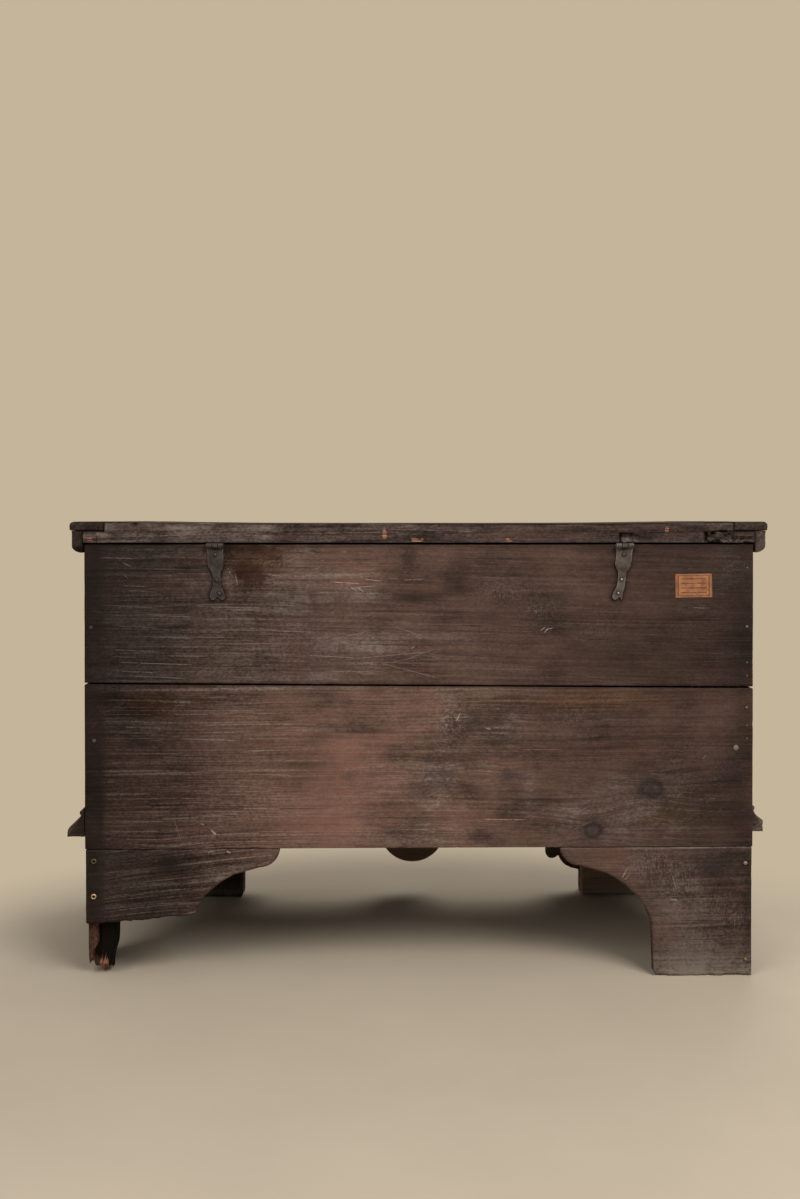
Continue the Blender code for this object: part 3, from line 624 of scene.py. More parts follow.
def old_wood(name, deep, middle, light, red, shine, strokes=(), stains=(), craze=(330.0, 250.0, 170.0)):
    """Softwood under an old finish: worn along the grain, stained, scratched, dusty and raw where broken."""
    g = Graph(bpy.data.materials.new(name))
    grain = g.attribute("grain")
    tone, dark, redness = g.attribute("tone_dark_red").split()
    pale, raw, dust = g.attribute("pale_raw_dust").split()
    scuff, crackle, bare = g.attribute("scuff_crackle_bare").split()
    place = g.place()
    patch = place.noise((6.0, 9.0, 10.0), 6.0, 0.66)
    vein = grain.noise((2.6, 170.0, 40.0), 5.0, 0.70)
    fibre = grain.noise((12.0, 420.0, 320.0), 3.0, 0.68)
    grit = place.noise((190.0, 260.0, 290.0), 4.0, 0.74)
    breaks = grain.noise((8.0, 70.0, 20.0), 4.0, 0.65)
    cloud = place.noise(16.0, 5.0, 0.65)

    # Finish over the wood
    colour = (patch * 0.40 + vein * 0.42 + grit * 0.18).ramp((0.40, deep), (0.61, light), (0.5, middle))
    colour = colour.tint(fibre.ramp((0.34, grey(0.48)), (0.66, grey(1.42))))
    colour = colour.tint(grit.ramp((0.36, grey(0.58)), (0.64, grey(1.36))))
    calm = (patch * 0.8 + vein * 0.2).ramp((0.36, deep), (0.66, light), (0.5, middle))
    colour = colour.mix(pale.band(0.15, 0.85, 0.62, 0.05), calm)
    colour = colour.mix(redness * (patch * 0.6 + vein * 0.4).band(0.40, 0.58), red)
    unfinished = (vein * 0.6 + fibre * 0.4).ramp((0.38, (0.075, 0.044, 0.026)), (0.62, (0.21, 0.135, 0.082)))
    colour = colour.mix(bare, unfinished)

    # Pale latewood lines from weathering, which on the back are also a painted raking highlight, and rubbed
    # haze
    lines = grain.noise((1.1, 96.0, 7.0), 1.0, 0.4).ridge(0.040) * breaks.band(0.45, 0.53)
    thin = grain.noise((2.0, 205.0, 14.0), 1.0, 0.4).ridge(0.050) * breaks.band(0.52, 0.45) * 0.70
    streak = g.math("MAXIMUM", lines, thin) * pale * grit.band(0.38, 0.56, 0.30, 1.0)
    drawn = grain.noise((5.0, 48.0, 16.0), 4.0, 0.62)
    haze = scuff * cloud.band(0.32, 0.66) * drawn.band(0.40, 0.60, 0.35, 1.15)
    haze = haze * vein.band(0.40, 0.60, 0.25, 1.0) * grit.band(0.40, 0.58, 0.35, 1.0)
    colour = colour.mix(g.math("MINIMUM", haze, 0.8), (0.245, 0.193, 0.167))
    colour = colour.mix(g.math("MINIMUM", streak, 0.9), (0.330, 0.262, 0.225))

    # Thin dark checks along the grain
    check = grain.noise((4.0, 300.0, 30.0), 2.0, 0.5)
    check = check.band(0.36, 0.31) * breaks.band(0.46, 0.54)
    colour = colour.mix(check * 0.55, (0.020, 0.013, 0.010))

    # Scratches along and across the board
    slant = place.turn(0.16).noise((7.0, 20.0, 210.0), 1.0, 0.4)
    steep = place.turn(-0.55).noise((12.0, 20.0, 170.0), 1.0, 0.4)
    gate = place.noise(27.0, 3.0, 0.6)
    scratch = g.math("MAXIMUM", slant.ridge(0.026) * gate.band(0.50, 0.57),
                     steep.ridge(0.020) * gate.band(0.47, 0.40))
    scratch = scratch * g.math("MINIMUM", scuff, 0.60)
    colour = colour.mix(scratch * 0.50, (0.38, 0.305, 0.265))

    # Crazed finish, in small upright wrinkles
    wrinkle = place.noise(craze, 3.0, 0.6)
    flake = crackle * wrinkle.ridge(0.035) * grit.band(0.42, 0.56)
    colour = colour.mix(g.math("MINIMUM", flake, 0.75), (0.285, 0.225, 0.195))
    split = crackle * wrinkle.band(0.40, 0.34)
    colour = colour.mix(split * 0.25, (0.022, 0.014, 0.011))

    # Scratches and old spills at known places, on the outer face only
    outside = g.math("SUBTRACT", 1.0, bare)
    for x, z, angle, half, width, shade in strokes:
        across, _, along = place.local(x, z, Rotation=(0.0, -math.radians(angle), 0.0)).split()
        line = abs(along + (grit - 0.5) * (4.0 * width)).band(0.4 * width, width, 1.0, 0.0)
        line = line * abs(across).band(0.6 * half, half, 1.0, 0.0) * grit.band(0.34, 0.50, 0.2, 0.9)
        colour = colour.mix(line * outside, shade)
    for x, z, half_x, half_z, tint in stains:
        spot = place.local(x, z, Scale=(half_x, 1000.0, half_z))
        span = g.node("VectorMath", {0: spot}, "Value", operation="LENGTH")
        span = span + (cloud - 0.5) * 1.6 + (grit - 0.5) * 1.3
        colour = colour.mix(span.band(0.35, 1.15, 1.0, 0.0) * outside, colour.tint(tint))

    # Overall tone, which also carries painted light and shade, raw broken wood, pin specks, dark stains with
    # painted shade, and dust, with painted light on some blocks
    colour = colour.tint((tone * 0.5).ramp((0.0, grey(0.0)), (1.0, grey(2.0))))
    torn = (raw + (fibre - 0.5) * 0.8).band(0.40, 0.70)
    colour = colour.mix(torn, fibre.ramp((0.32, (0.085, 0.039, 0.021)), (0.66, (0.43, 0.205, 0.130))))
    fleck = grit.band(0.68, 0.74) * (scuff + 0.15)
    colour = colour.mix(fleck * 0.6, (0.33, 0.26, 0.21))
    stain = dark * (cloud * 0.6 + vein * 0.4).band(0.34, 0.56, 0.5, 1.0)
    colour = colour.mix(stain, (0.0050, 0.0035, 0.0027))
    film = dust * (cloud * 0.45 + grit * 0.25 + vein * 0.30).band(0.38, 0.60)
    colour = colour.mix(film, (0.205, 0.172, 0.145))

    rough = patch * 0.20 + 0.54 + g.math("MAXIMUM", torn, film) * 0.2
    height = fibre * 0.35 + vein * 0.45 + grit * 0.30 + streak * 0.25 - scratch * 0.4 + flake * 0.5
    height = height + torn * (fibre * 1.6)
    return g.finish(colour, rough, height.bump(0.6, 0.0010), 0.0, shine)


def old_iron(name, base, rust):
    """Forged iron: pitted, brown in the pits, with a painted highlight on its rubbed edges, and dirt and
    painted shade in its low places.
    """
    g = Graph(bpy.data.materials.new(name))
    place = g.place()
    rim, low, _ = g.attribute("rubbed").split()
    wide = place.noise(60.0, 5.0, 0.65)
    pits = place.noise(420.0, 4.0, 0.7)
    colour = wide.ramp((0.34, times(0.45, base)), (0.66, times(1.5, base)), (0.5, base))
    colour = colour.mix(pits.band(0.52, 0.66) * 0.6, rust)
    colour = colour.mix(pits.band(0.45, 0.36) * 0.6, grey(0.012))
    # Painted highlight on the rubbed edges
    colour = colour.mix(rim * wide.band(0.40, 0.62), times(2.6, base))
    # Dirt round the nails and painted shade where the leaf meets the board
    colour = colour.mix(low * 0.85, (0.012, 0.009, 0.007))
    height = wide * 0.5 + pits * 0.5
    return g.finish(colour, pits.band(0.3, 0.7, 0.48, 0.78), height.bump(0.6, 0.0008), 0.55, 0.4)


def old_metal_head(name, dull, bright, metallic):
    """Small head, rubbed on top, dirty in its hole, and dark round its rim with dirt and painted shade."""
    g = Graph(bpy.data.materials.new(name))
    rim, hole, _ = g.attribute("head").split()
    place = g.place()
    wide = place.noise(240.0, 4.0, 0.6)
    pits = place.noise(900.0, 3.0, 0.6)
    colour = wide.ramp((0.35, dull), (0.62, bright))
    # Dirt and painted shade round the rim of the head
    colour = colour.mix(rim * pits.band(0.35, 0.6, 0.5, 1.0), times(0.35, dull))
    colour = colour.mix(hole, (0.012, 0.008, 0.006))
    return g.finish(colour, pits.band(0.3, 0.7, 0.40, 0.66), pits.bump(0.35, 0.0003), metallic, 0.4)


def old_paper(name):
    """Browned paper with a ruled frame and plain lines."""
    g = Graph(bpy.data.materials.new(name))
    x, z, _ = g.attribute("page").split()
    place = g.place()
    pulp = place.noise((500.0, 500.0, 900.0), 3.0, 0.6)
    stain = place.noise(70.0, 4.0, 0.6)
    colour = stain.ramp((0.32, (0.200, 0.080, 0.036)), (0.68, (0.395, 0.170, 0.076)))
    colour = colour.tint(pulp.ramp((0.3, grey(0.82)), (0.7, grey(1.15))))
    edge = g.math("MAXIMUM", abs(x), abs(z))
    rule = abs(edge - 0.84).band(0.0, 0.065, 1.0, 0.0)
    lines = abs(g.math("FRACT", z * 2.6) - 0.5)
    ruled = lines.band(0.02, 0.20, 1.0, 0.0) * edge.band(0.72, 0.66)
    ink = g.math("MAXIMUM", rule, ruled) * pulp.band(0.34, 0.58, 0.3, 1.0)
    colour = colour.mix(ink * 0.95, (0.050, 0.025, 0.016))
    colour = colour.mix(edge.band(0.86, 1.02) * 0.45, (0.085, 0.040, 0.022))
    return g.finish(colour, 0.82, pulp.bump(0.25, 0.0003), 0.0, 0.25)


# Scratches: X, Z, angle, half length, half width and colour
UPPER_STROKES = (
    (0.348, 0.7586, 80, 0.013, 0.0012, (0.46, 0.39, 0.34)),
    (0.362, 0.775, 70, 0.006, 0.0011, (0.42, 0.35, 0.3)),
    (0.14, 0.752, 4, 0.03, 0.001, (0.44, 0.26, 0.2)),
    (0.105, 0.7445, -5, 0.024, 0.0009, (0.38, 0.27, 0.21)),
    (0.09, 0.757, 6, 0.016, 0.0009, (0.42, 0.25, 0.19)),
    (0.012, 0.758, -3, 0.022, 0.0008, (0.32, 0.17, 0.12)),
    (0.112, 0.738, 38, 0.008, 0.0009, (0.44, 0.38, 0.34)),
    (0.126, 0.74, 30, 0.007, 0.0009, (0.44, 0.38, 0.34)),
    (-0.535, 0.7034, 2, 0.018, 0.0009, (0.4, 0.33, 0.28)),
    (-0.24, 0.661, -40, 0.006, 0.0011, (0.46, 0.4, 0.36)),
    (-0.233, 0.664, -35, 0.006, 0.001, (0.46, 0.4, 0.36)),
    (-0.246, 0.6645, -12, 0.009, 0.0009, (0.4, 0.34, 0.3)),
    (-0.002, 0.617, -20, 0.03, 0.0006, (0.24, 0.19, 0.165)),
    (0.03, 0.606, -12, 0.026, 0.0006, (0.24, 0.19, 0.165)),
    (0.014, 0.629, -40, 0.004, 0.001, (0.4, 0.32, 0.28)),
    (0.504, 0.5995, 2, 0.079, 0.0008, (0.66, 0.56, 0.5)),
    (0.5385, 0.584, 3, 0.045, 0.0008, (0.6, 0.5, 0.45)),
    (0.56, 0.625, 2, 0.022, 0.0008, (0.62, 0.53, 0.48)),
    (0.5, 0.574, 3, 0.06, 0.0007, (0.5, 0.42, 0.37)),
    (0.56, 0.612, 1, 0.026, 0.0007, (0.52, 0.44, 0.39)),
    (0.53, 0.566, 2, 0.05, 0.0007, (0.42, 0.35, 0.31)),
    (0.555, 0.787, 25, 0.01, 0.0008, (0.6, 0.52, 0.47)),
    (0.54, 0.746, 2, 0.024, 0.0008, (0.5, 0.43, 0.39)),
    (0.556, 0.764, 50, 0.006, 0.0008, (0.6, 0.52, 0.47)),
    (0.535, 0.737, 1, 0.02, 0.0007, (0.5, 0.43, 0.39)),
    (0.384, 0.683, 0, 0.03, 0.0008, (0.34, 0.28, 0.24)),
    (0.5735, 0.799, 2, 0.035, 0.0008, (0.52, 0.45, 0.4)),
    (0.549, 0.707, 3, 0.054, 0.0007, (0.46, 0.39, 0.35)),
    (0.4695, 0.689, 2, 0.045, 0.0008, (0.42, 0.35, 0.31)),
    (0.536, 0.669, 2, 0.042, 0.0007, (0.46, 0.39, 0.35)),
    (0.482, 0.649, 2, 0.057, 0.0008, (0.42, 0.35, 0.31)),
    (0.539, 0.624, 3, 0.045, 0.0008, (0.48, 0.41, 0.37)),
    (0.4425, 0.6135, 1, 0.043, 0.0008, (0.42, 0.35, 0.31)),
    (0.361, 0.705, 1, 0.045, 0.0007, (0.36, 0.3, 0.26)),
    (0.24, 0.6597, 2, 0.042, 0.0008, (0.34, 0.28, 0.245)),
    (0.168, 0.612, 3, 0.05, 0.0008, (0.34, 0.28, 0.245)),
    (0.134, 0.5837, 1, 0.05, 0.0008, (0.32, 0.26, 0.225)),
    (0.059, 0.614, -5, 0.09, 0.0006, (0.3, 0.24, 0.21)),
    (0.022, 0.5856, 15, 0.062, 0.0006, (0.28, 0.225, 0.195)),
    (0.134, 0.652, -12, 0.04, 0.0006, (0.3, 0.24, 0.21)),
    (0.022, 0.6597, 18, 0.036, 0.0006, (0.28, 0.225, 0.195)),
)
LOWER_STROKES = (
    (0.392, 0.2795, 38, 0.007, 0.0019, (0.52, 0.43, 0.37)),
    (0.413, 0.2945, 12, 0.004, 0.0014, (0.44, 0.36, 0.3)),
    (-0.233, 0.434, 0, 0.046, 0.0007, (0.22, 0.165, 0.14)),
    (-0.1606, 0.3012, 1, 0.046, 0.001, (0.36, 0.2, 0.15)),
    (0.46, 0.285, 72, 0.028, 0.0008, (0.24, 0.18, 0.15)),
    (-0.43, 0.374, 1, 0.044, 0.0007, (0.22, 0.17, 0.145)),
    (0.548, 0.479, 2, 0.012, 0.001, (0.36, 0.28, 0.25)),
    (-0.542, 0.419, -45, 0.006, 0.001, (0.34, 0.28, 0.25)),
    (-0.072, 0.496, -62, 0.01, 0.0012, (0.34, 0.27, 0.23)),
    (-0.129, 0.474, 8, 0.006, 0.0009, (0.36, 0.29, 0.25)),
    (0.4, 0.455, 2, 0.06, 0.0007, (0.36, 0.28, 0.24)),
)
BASE_STROKES = (
    (-0.484, 0.1464, 3, 0.007, 0.0012, (0.52, 0.45, 0.39)),
    (-0.39, 0.1977, -62, 0.012, 0.0014, (0.38, 0.27, 0.21)),
    (-0.395, 0.19, -50, 0.009, 0.0012, (0.36, 0.26, 0.2)),
    (-0.505, 0.161, 60, 0.014, 0.0015, (0.03, 0.018, 0.013)),
    (0.433, 0.127, -12, 0.013, 0.0014, (0.38, 0.28, 0.21)),
    (0.397, 0.2415, -8, 0.006, 0.0016, (0.42, 0.33, 0.28)),
    (0.363, 0.2415, 20, 0.005, 0.0016, (0.42, 0.33, 0.28)),
    (-0.485, 0.18, 75, 0.014, 0.0013, (0.34, 0.26, 0.22)),
    (-0.535, 0.0065, 0, 0.088, 0.0022, (0.4, 0.32, 0.265)),
    (-0.6, 0.0105, 2, 0.03, 0.0016, (0.44, 0.345, 0.285)),
    (-0.495, 0.004, -2, 0.022, 0.0018, (0.03, 0.02, 0.015)),
    (-0.47, 0.0115, 1, 0.018, 0.0016, (0.42, 0.33, 0.27)),
    (-0.54, 0.106, 1, 0.05, 0.001, (0.03, 0.022, 0.018)),
    (-0.52, 0.07, 0, 0.06, 0.0009, (0.035, 0.026, 0.021)),
)

# Old spills: X, Z, half width, half height and tint
UPPER_STAINS = (
    (0.325, 0.795, 0.07, 0.056, (0.47, 0.37, 0.28)), (0.364, 0.806, 0.012, 0.03, (0.5, 0.44, 0.38)),
    (0.342, 0.745, 0.026, 0.04, (0.72, 0.68, 0.64)), (0.022, 0.798, 0.018, 0.03, (0.66, 0.66, 0.68)),
)
LOWER_STAINS = (
    (-0.33, 0.528, 0.15, 0.026, (1.08, 0.97, 0.78)), (-0.3285, 0.2795, 0.034, 0.028, (0.8, 0.86, 1.0)),
    (-0.4407, 0.3593, 0.04, 0.03, (0.92, 1.0, 1.12)), (-0.036, 0.386, 0.036, 0.018, (0.78, 0.84, 0.94)),
    (-0.167, 0.386, 0.026, 0.015, (0.78, 0.84, 0.94)), (-0.114, 0.27, 0.032, 0.014, (0.7, 0.74, 0.84)),
    (-0.59, 0.385, 0.03, 0.035, (0.78, 0.8, 0.86)), (0.518, 0.52, 0.056, 0.028, (0.82, 0.66, 0.43)),
    (0.59, 0.535, 0.04, 0.022, (0.62, 0.58, 0.52)), (-0.5, 0.302, 0.07, 0.02, (1.08, 1.06, 0.88)),
)
BASE_STAINS = (
    (-0.555, 0.212, 0.046, 0.026, (0.66, 0.64, 0.7)), (-0.6, 0.225, 0.03, 0.03, (0.74, 0.7, 0.72)),
)

# Deep, middle, light and red colour of each wood
CASE_COLOURS = ((0.04, 0.0235, 0.0175), (0.096, 0.055, 0.0415), (0.15, 0.09, 0.07), (0.146, 0.068, 0.049))
BASE_COLOURS = ((0.04, 0.024, 0.018), (0.09, 0.053, 0.04), (0.14, 0.087, 0.068), (0.135, 0.064, 0.046))
LID_COLOURS = ((0.038, 0.026, 0.022), (0.086, 0.058, 0.049), (0.14, 0.099, 0.087), (0.125, 0.062, 0.048))
INNER_COLOURS = ((0.05, 0.03, 0.019), (0.11, 0.068, 0.044), (0.175, 0.115, 0.076), (0.15, 0.074, 0.046))
CASE_WOOD = old_wood("case_wood", *CASE_COLOURS, 0.10)
UPPER_WOOD = old_wood("upper_back_wood", *CASE_COLOURS, 0.10, UPPER_STROKES, UPPER_STAINS)
LOWER_WOOD = old_wood("lower_back_wood", *CASE_COLOURS, 0.10, LOWER_STROKES, LOWER_STAINS)
BASE_WOOD = old_wood("base_wood", *BASE_COLOURS, 0.08)
BRACKET_WOOD = old_wood("bracket_wood", *BASE_COLOURS, 0.08, BASE_STROKES, BASE_STAINS, (250.0, 250.0, 52.0))
LID_WOOD = old_wood("lid_wood", *LID_COLOURS, 0.0)
INNER_WOOD = old_wood("inner_wood", *INNER_COLOURS, 0.05)
IRON = old_iron("old_iron", (0.084, 0.069, 0.060), (0.120, 0.080, 0.058))
# Darker copy of the iron, painted shade, for the hinge on the chest's right
SHADED_IRON = old_iron("shaded_iron", (0.044, 0.036, 0.033), (0.070, 0.048, 0.036))
BRASS = old_metal_head("old_brass", (0.30, 0.19, 0.085), (0.72, 0.53, 0.29), 0.6)
DULL_BRASS = old_metal_head("dull_brass", (0.060, 0.042, 0.026), (0.17, 0.115, 0.065), 0.5)
CREAM_HEAD = old_metal_head("painted_head", (0.17, 0.123, 0.096), (0.29, 0.220, 0.178), 0.0)
ORANGE_HEAD = old_metal_head("scraped_head", (0.12, 0.062, 0.040), (0.24, 0.125, 0.084), 0.0)
BRIGHT_NAIL = old_metal_head("bright_nail", (0.15, 0.14, 0.135), (0.40, 0.39, 0.375), 0.5)
DARK_NAIL = old_metal_head("dark_nail", (0.022, 0.017, 0.014), (0.075, 0.058, 0.050), 0.3)
GREY_NAIL = old_metal_head("grey_nail", (0.055, 0.042, 0.036), (0.130, 0.101, 0.087), 0.1)
BLACK_NAIL = old_metal_head("black_nail", (0.010, 0.008, 0.007), (0.030, 0.023, 0.020), 0.0)
PEG_END = old_metal_head("peg_end", (0.125, 0.095, 0.080), (0.205, 0.160, 0.138), 0.0)
PAPER = old_paper("old_paper")

# Body, material slot and material of the pieces that share them
BASE = ("case", "base_wood", BASE_WOOD)
BLOCK = ("case", "inner_wood", INNER_WOOD)
LID = ("lid", "lid_wood", LID_WOOD)

# Back boards
KNOTS = (
    (-0.3285, 0.2795, 0.019), (-0.4407, 0.3593, 0.023), (0.477, 0.219, 0.02), (-0.036, 0.387, 0.014),
    (-0.167, 0.386, 0.011),
)
BACK_DARK = (
    (0.63, 0.54, 0.016, 0.6, 0.3), (0.009, 0.725, 0.05, 0.012, 0.72), (-0.076, 0.776, 0.02, 0.05, 0.45),
    (-0.15, 0.7, 0.06, 0.05, 0.3), (-0.034, 0.386, 0.026, 0.01, 0.3), (-0.167, 0.386, 0.016, 0.008, 0.25),
    (-0.114, 0.266, 0.03, 0.014, 0.5), (-0.615, 0.54, 0.03, 0.5, 0.38), (-0.56, 0.31, 0.06, 0.06, 0.35),
    (0.56, 0.64, 0.06, 0.08, 0.3), (0.215, 0.405, 0.05, 0.006, 0.45), (0.11, 0.47, 0.07, 0.005, 0.45),
    (0.19, 0.545, 0.08, 0.01, 0.3), (-0.38, 0.6, 0.1, 0.03, 0.25), (0.05, 0.33, 0.06, 0.008, 0.35),
)
BACK_RED = (
    (0.132, 0.41, 0.13, 0.13, 0.75), (0.012, 0.752, 0.08, 0.018, 0.8), (0.105, 0.792, 0.07, 0.03, 0.55),
    (-0.277, 0.305, 0.07, 0.01, 0.9), (-0.097, 0.305, 0.03, 0.008, 0.8), (-0.24, 0.79, 0.08, 0.02, 0.4),
    (0.24, 0.29, 0.12, 0.04, 0.45), (-0.12, 0.44, 0.1, 0.06, 0.35),
)
BACK_SCUFF = (
    (-0.43, 0.318, 0.11, 0.055, 1.25), (-0.209, 0.365, 0.012, 0.036, 0.9),
    (-0.056, 0.494, 0.028, 0.035, 0.45), (0.234, 0.72, 0.07, 0.06, 0.55), (-0.295, 0.322, 0.03, 0.034, 0.9),
    (-0.5, 0.33, 0.06, 0.016, 0.9), (-0.04, 0.36, 0.04, 0.07, 0.6), (0.505, 0.474, 0.03, 0.016, 0.7),
    (0.117, 0.743, 0.052, 0.022, 1.0), (0.06, 0.622, 0.1, 0.04, 0.85), (0.53, 0.478, 0.04, 0.014, 0.7),
    (-0.6, 0.77, 0.03, 0.05, 0.6), (-0.53, 0.706, 0.04, 0.01, 0.6), (0.3, 0.56, 0.1, 0.01, 0.4),
    (-0.33, 0.32, 0.06, 0.04, 0.55), (-0.16, 0.47, 0.06, 0.06, 0.35), (0.43, 0.59, 0.12, 0.03, 0.4),
)
BACK_CRACKLE = (
    (0.378, 0.688, 0.038, 0.032, 1.3), (0.352, 0.77, 0.014, 0.03, 0.9), (-0.6, 0.775, 0.03, 0.035, 1.0),
    (-0.15, 0.735, 0.05, 0.022, 1.0), (-0.225, 0.7, 0.035, 0.025, 0.9), (-0.33, 0.66, 0.05, 0.03, 0.6),
    (-0.056, 0.494, 0.03, 0.035, 0.7), (0.2, 0.64, 0.05, 0.03, 0.8), (0.54, 0.6, 0.06, 0.04, 0.9),
    (-0.3, 0.5, 0.06, 0.03, 0.5), (-0.37, 0.33, 0.06, 0.04, 0.6), (-0.5, 0.42, 0.05, 0.03, 0.4),
)
BACK_RAW = ((-0.634, 0.6, 0.002, 0.05, 0.6),)
STRIP_X = 0.598            # a dark strip runs up the back beyond this line
LEAN = {"left": 0.0095, "right": -0.0050}    # how far the foot of each hinge leaf hangs to one side
LEAF_TOP = 0.812
LEAF_RUN = 0.096


def hump(x, centre, right, left):
    """Level along X: floor, rise and width on the chest's right, then on its left."""
    away = x - centre
    base, rise, width = np.where(away[:, None] > 0, right, left).T
    return base + rise * bell(away, width)


def back_tone_and_light(x, z):
    """The back is darker towards both ends, partly from its own tone and partly from painted shade where the
    light falls off. It is lighter a little to the right of the middle, where the upper board is rubbed near
    the top.
    """
    upper = hump(x, 0.04, (0.06, 0.68, 0.43), (0.18, 0.56, 0.54))
    lower = hump(x, 0.05, (0.06, 1.29, 0.41), (0.53, 0.82, 0.27)) + 0.07 * bell(x + 0.43, 0.06)
    seam = SEAM + SEAM_SLOPE * x
    near_edge = np.minimum(np.abs(z - seam) / 0.004, np.abs(BACK_HIGH - z) / 0.010)
    rubbed = (0.12 + 0.35 * bell(x - 0.23, 0.13)) * smooth(z, 0.70, 0.77) * smooth(x, 0.60, 0.50)
    # Dark line along the seam, and painted shade under the lid along the top edge
    return np.where(z > seam, upper * (1 + rubbed), lower) * (1 - 0.45 * bell(near_edge, 1))


def lean(z, side):
    """Shift along X of a hinge leaf at a height."""
    return LEAN[side] * np.clip((LEAF_TOP - z) / LEAF_RUN, 0, 1)


def leaf_tree(side):
    """Plan of a hinge leaf, for the painted shadow and dirt round it."""
    corners = [v.co for v in NODES[f"hinge_leaf_{side}"].data.vertices if v.co.z < 0.815]
    return search_tree([(co.x + float(lean(co.z, side)), 0.0, co.z) for co in corners])


def hinge_shadow_and_dirt(x, z):
    """Painted shadow and dirt round the hinge leaves."""
    dirt_and_shade = np.zeros(len(x))
    for side in SIDES:
        low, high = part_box(f"hinge_leaf_{side}")
        close = (x > low.x - 0.02) & (x < high.x + 0.02) & (z > low.z - 0.02)
        tree = leaf_tree(side)
        for i in np.nonzero(close)[0]:
            gap = tree.find((x[i], 0.0, z[i]))[2]
            dirt_and_shade[i] = max(dirt_and_shade[i], 0.75 * math.exp(-(gap / 0.0060) ** 2))
    return dirt_and_shade


def back_marks(skin, seed, pith, slope):
    """Wear and stains of the back boards; the inner face has no finish."""
    p = skin.points
    x, y, z = p.T
    marks = facts(skin, "X", seed, pith=pith, slope=slope, knots=KNOTS)
    outer = smooth(y, BACK_Y - 0.004, BACK_Y - 0.001)
    marks["tone"] = outer * back_tone_and_light(x, z) * (1 + 0.16 * fractal(p, (3, 6, 6), 3, seed)) + (1 - outer) * 0.8
    # Painted shadow and dirt round the hinge leaves, and dark knots
    spots = np.maximum(hinge_shadow_and_dirt(x, z), 0.80 * knot_rings(p, KNOTS, 14))
    marks["dark"] = outer * np.maximum(blobs(p, BACK_DARK, 1), spots)
    soft = 0.004 + 0.012 * smooth(z, 0.30, 0.40)
    strip = smooth(x + 0.007 * fractal(p, (10, 20, 20), 3, 37), STRIP_X - soft, STRIP_X + soft)
    marks.most("dark", outer * strip * (0.50 + 0.25 * fractal(p, (30, 9, 9), 3, 38)))
    marks["red"] = outer * (0.15 + 0.62 * blobs(p, BACK_RED, 2))
    marks["raw"] *= 0.6
    marks.most("raw", outer * blobs(p, BACK_RAW, 11))
    # Pale latewood towards the chest's right end: weathering and a painted raking highlight
    weather_and_highlight = smooth(x, 0.16, 0.36) * (1 - 0.7 * smooth(x, 0.585, 0.605))
    marks["pale"] = outer * (0.18 + 0.80 * weather_and_highlight) * (0.80 + 0.7 * fractal(p, (3, 8, 8), 2, seed + 5))
    above = smooth(z, SEAM - 0.02, SEAM + 0.02)
    marks["scuff"] = outer * (0.12 + 0.55 * above * smooth(x, -0.02, 0.22) + blobs(p, BACK_SCUFF, 3))
    marks["crackle"] = outer * blobs(p, BACK_CRACKLE, 4)
    marks["bare"] = 1 - smooth(y, BACK_Y - 0.021, BACK_Y - 0.018)
    marks["dust"] = (1 - outer) * 0.15
    return marks


def back_board(name, seed, pith, slope, material):
    """Board made flat, then fitted between the seam and the far edge of the back."""
    low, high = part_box(name)
    tall = high.z - low.z
    flat = ((low.x, low.y, 0.0), (high.x, high.y, tall))
    skin = box_skin(*flat, (0.0032, 0.006, 0.0027), seed, 0.0013, 0.0028)
    x, _, z = skin.points.T
    seam = SEAM + SEAM_SLOPE * x
    if name == "back_board_upper":
        bottom, top = seam + SEAM_GAP / 2, BACK_HIGH
    else:
        bottom, top = BACK_LOW, seam - SEAM_GAP / 2
    z[:] = bottom + z / tall * (top - bottom)
    skin.sink(0.0007 * np.clip(fractal(skin.points, (3, 10, 26), 3, seed + 3), 0, 1))
    piece(name, skin, "case", "case_wood", material, back_marks(skin, seed, pith, slope))


back_board("back_board_lower", 3, (0.05, -0.30), 0.008, LOWER_WOOD)
back_board("back_board_upper", 5, (0.04, 0.33), -0.010, UPPER_WOOD)


# Other boards of the case
def case_board(name, axis, seed, pith, way=1):
    """Board along an axis, without finish on the face that looks into the case, towards + or -."""
    low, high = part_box(name)
    skin = box_skin(low, high, [0.009 if a == axis else 0.008 for a in "XYZ"], seed, 0.0015, 0.003)
    marks = facts(skin, axis, seed, pith=pith)
    across = 1 if axis == "X" else 0
    inner = high if way > 0 else low
    bare = 1 - smooth(way * (inner[across] - skin.points[:, across]), 0.001, 0.004)
    marks["bare"] = bare
    marks["tone"] = marks["tone"] * (1 + 0.35 * bare) + 0.12
    marks["scuff"] = marks["scuff"] * (1 - bare) + 0.1
    piece(name, skin, "case", "case_wood", CASE_WOOD, marks)


def floor_plank(name, seed):
    """Plank of the bottom: unfinished and dusty."""
    skin = box_skin(*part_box(name), (0.012, 0.010, 0.008), seed, 0.0012, 0.002)
    marks = facts(skin, "X", seed, pith=(0.02, 0.09))
    marks["bare"] = np.full(len(skin.points), 0.9)
    marks["tone"] += 0.30
    marks["dust"] = 0.35 * smooth(fractal(skin.points, 7, 3, seed), -0.1, 0.6)
    piece(name, skin, *BLOCK, marks)


case_board("front_board_lower", "X", 11, (0.06, 0.02))
case_board("front_board_upper", "X", 13, (0.08, -0.24))
for side, way in zip(SIDES, (1, -1)):
    case_board(f"end_board_{side}_lower", "Y", 15 + way, (0.07, 0.05), way)
    case_board(f"end_board_{side}_upper", "Y", 19 + way, (0.09, -0.20), way)
for i in (1, 2, 3):
    floor_plank(f"bottom_plank_{i}", 22 + i)

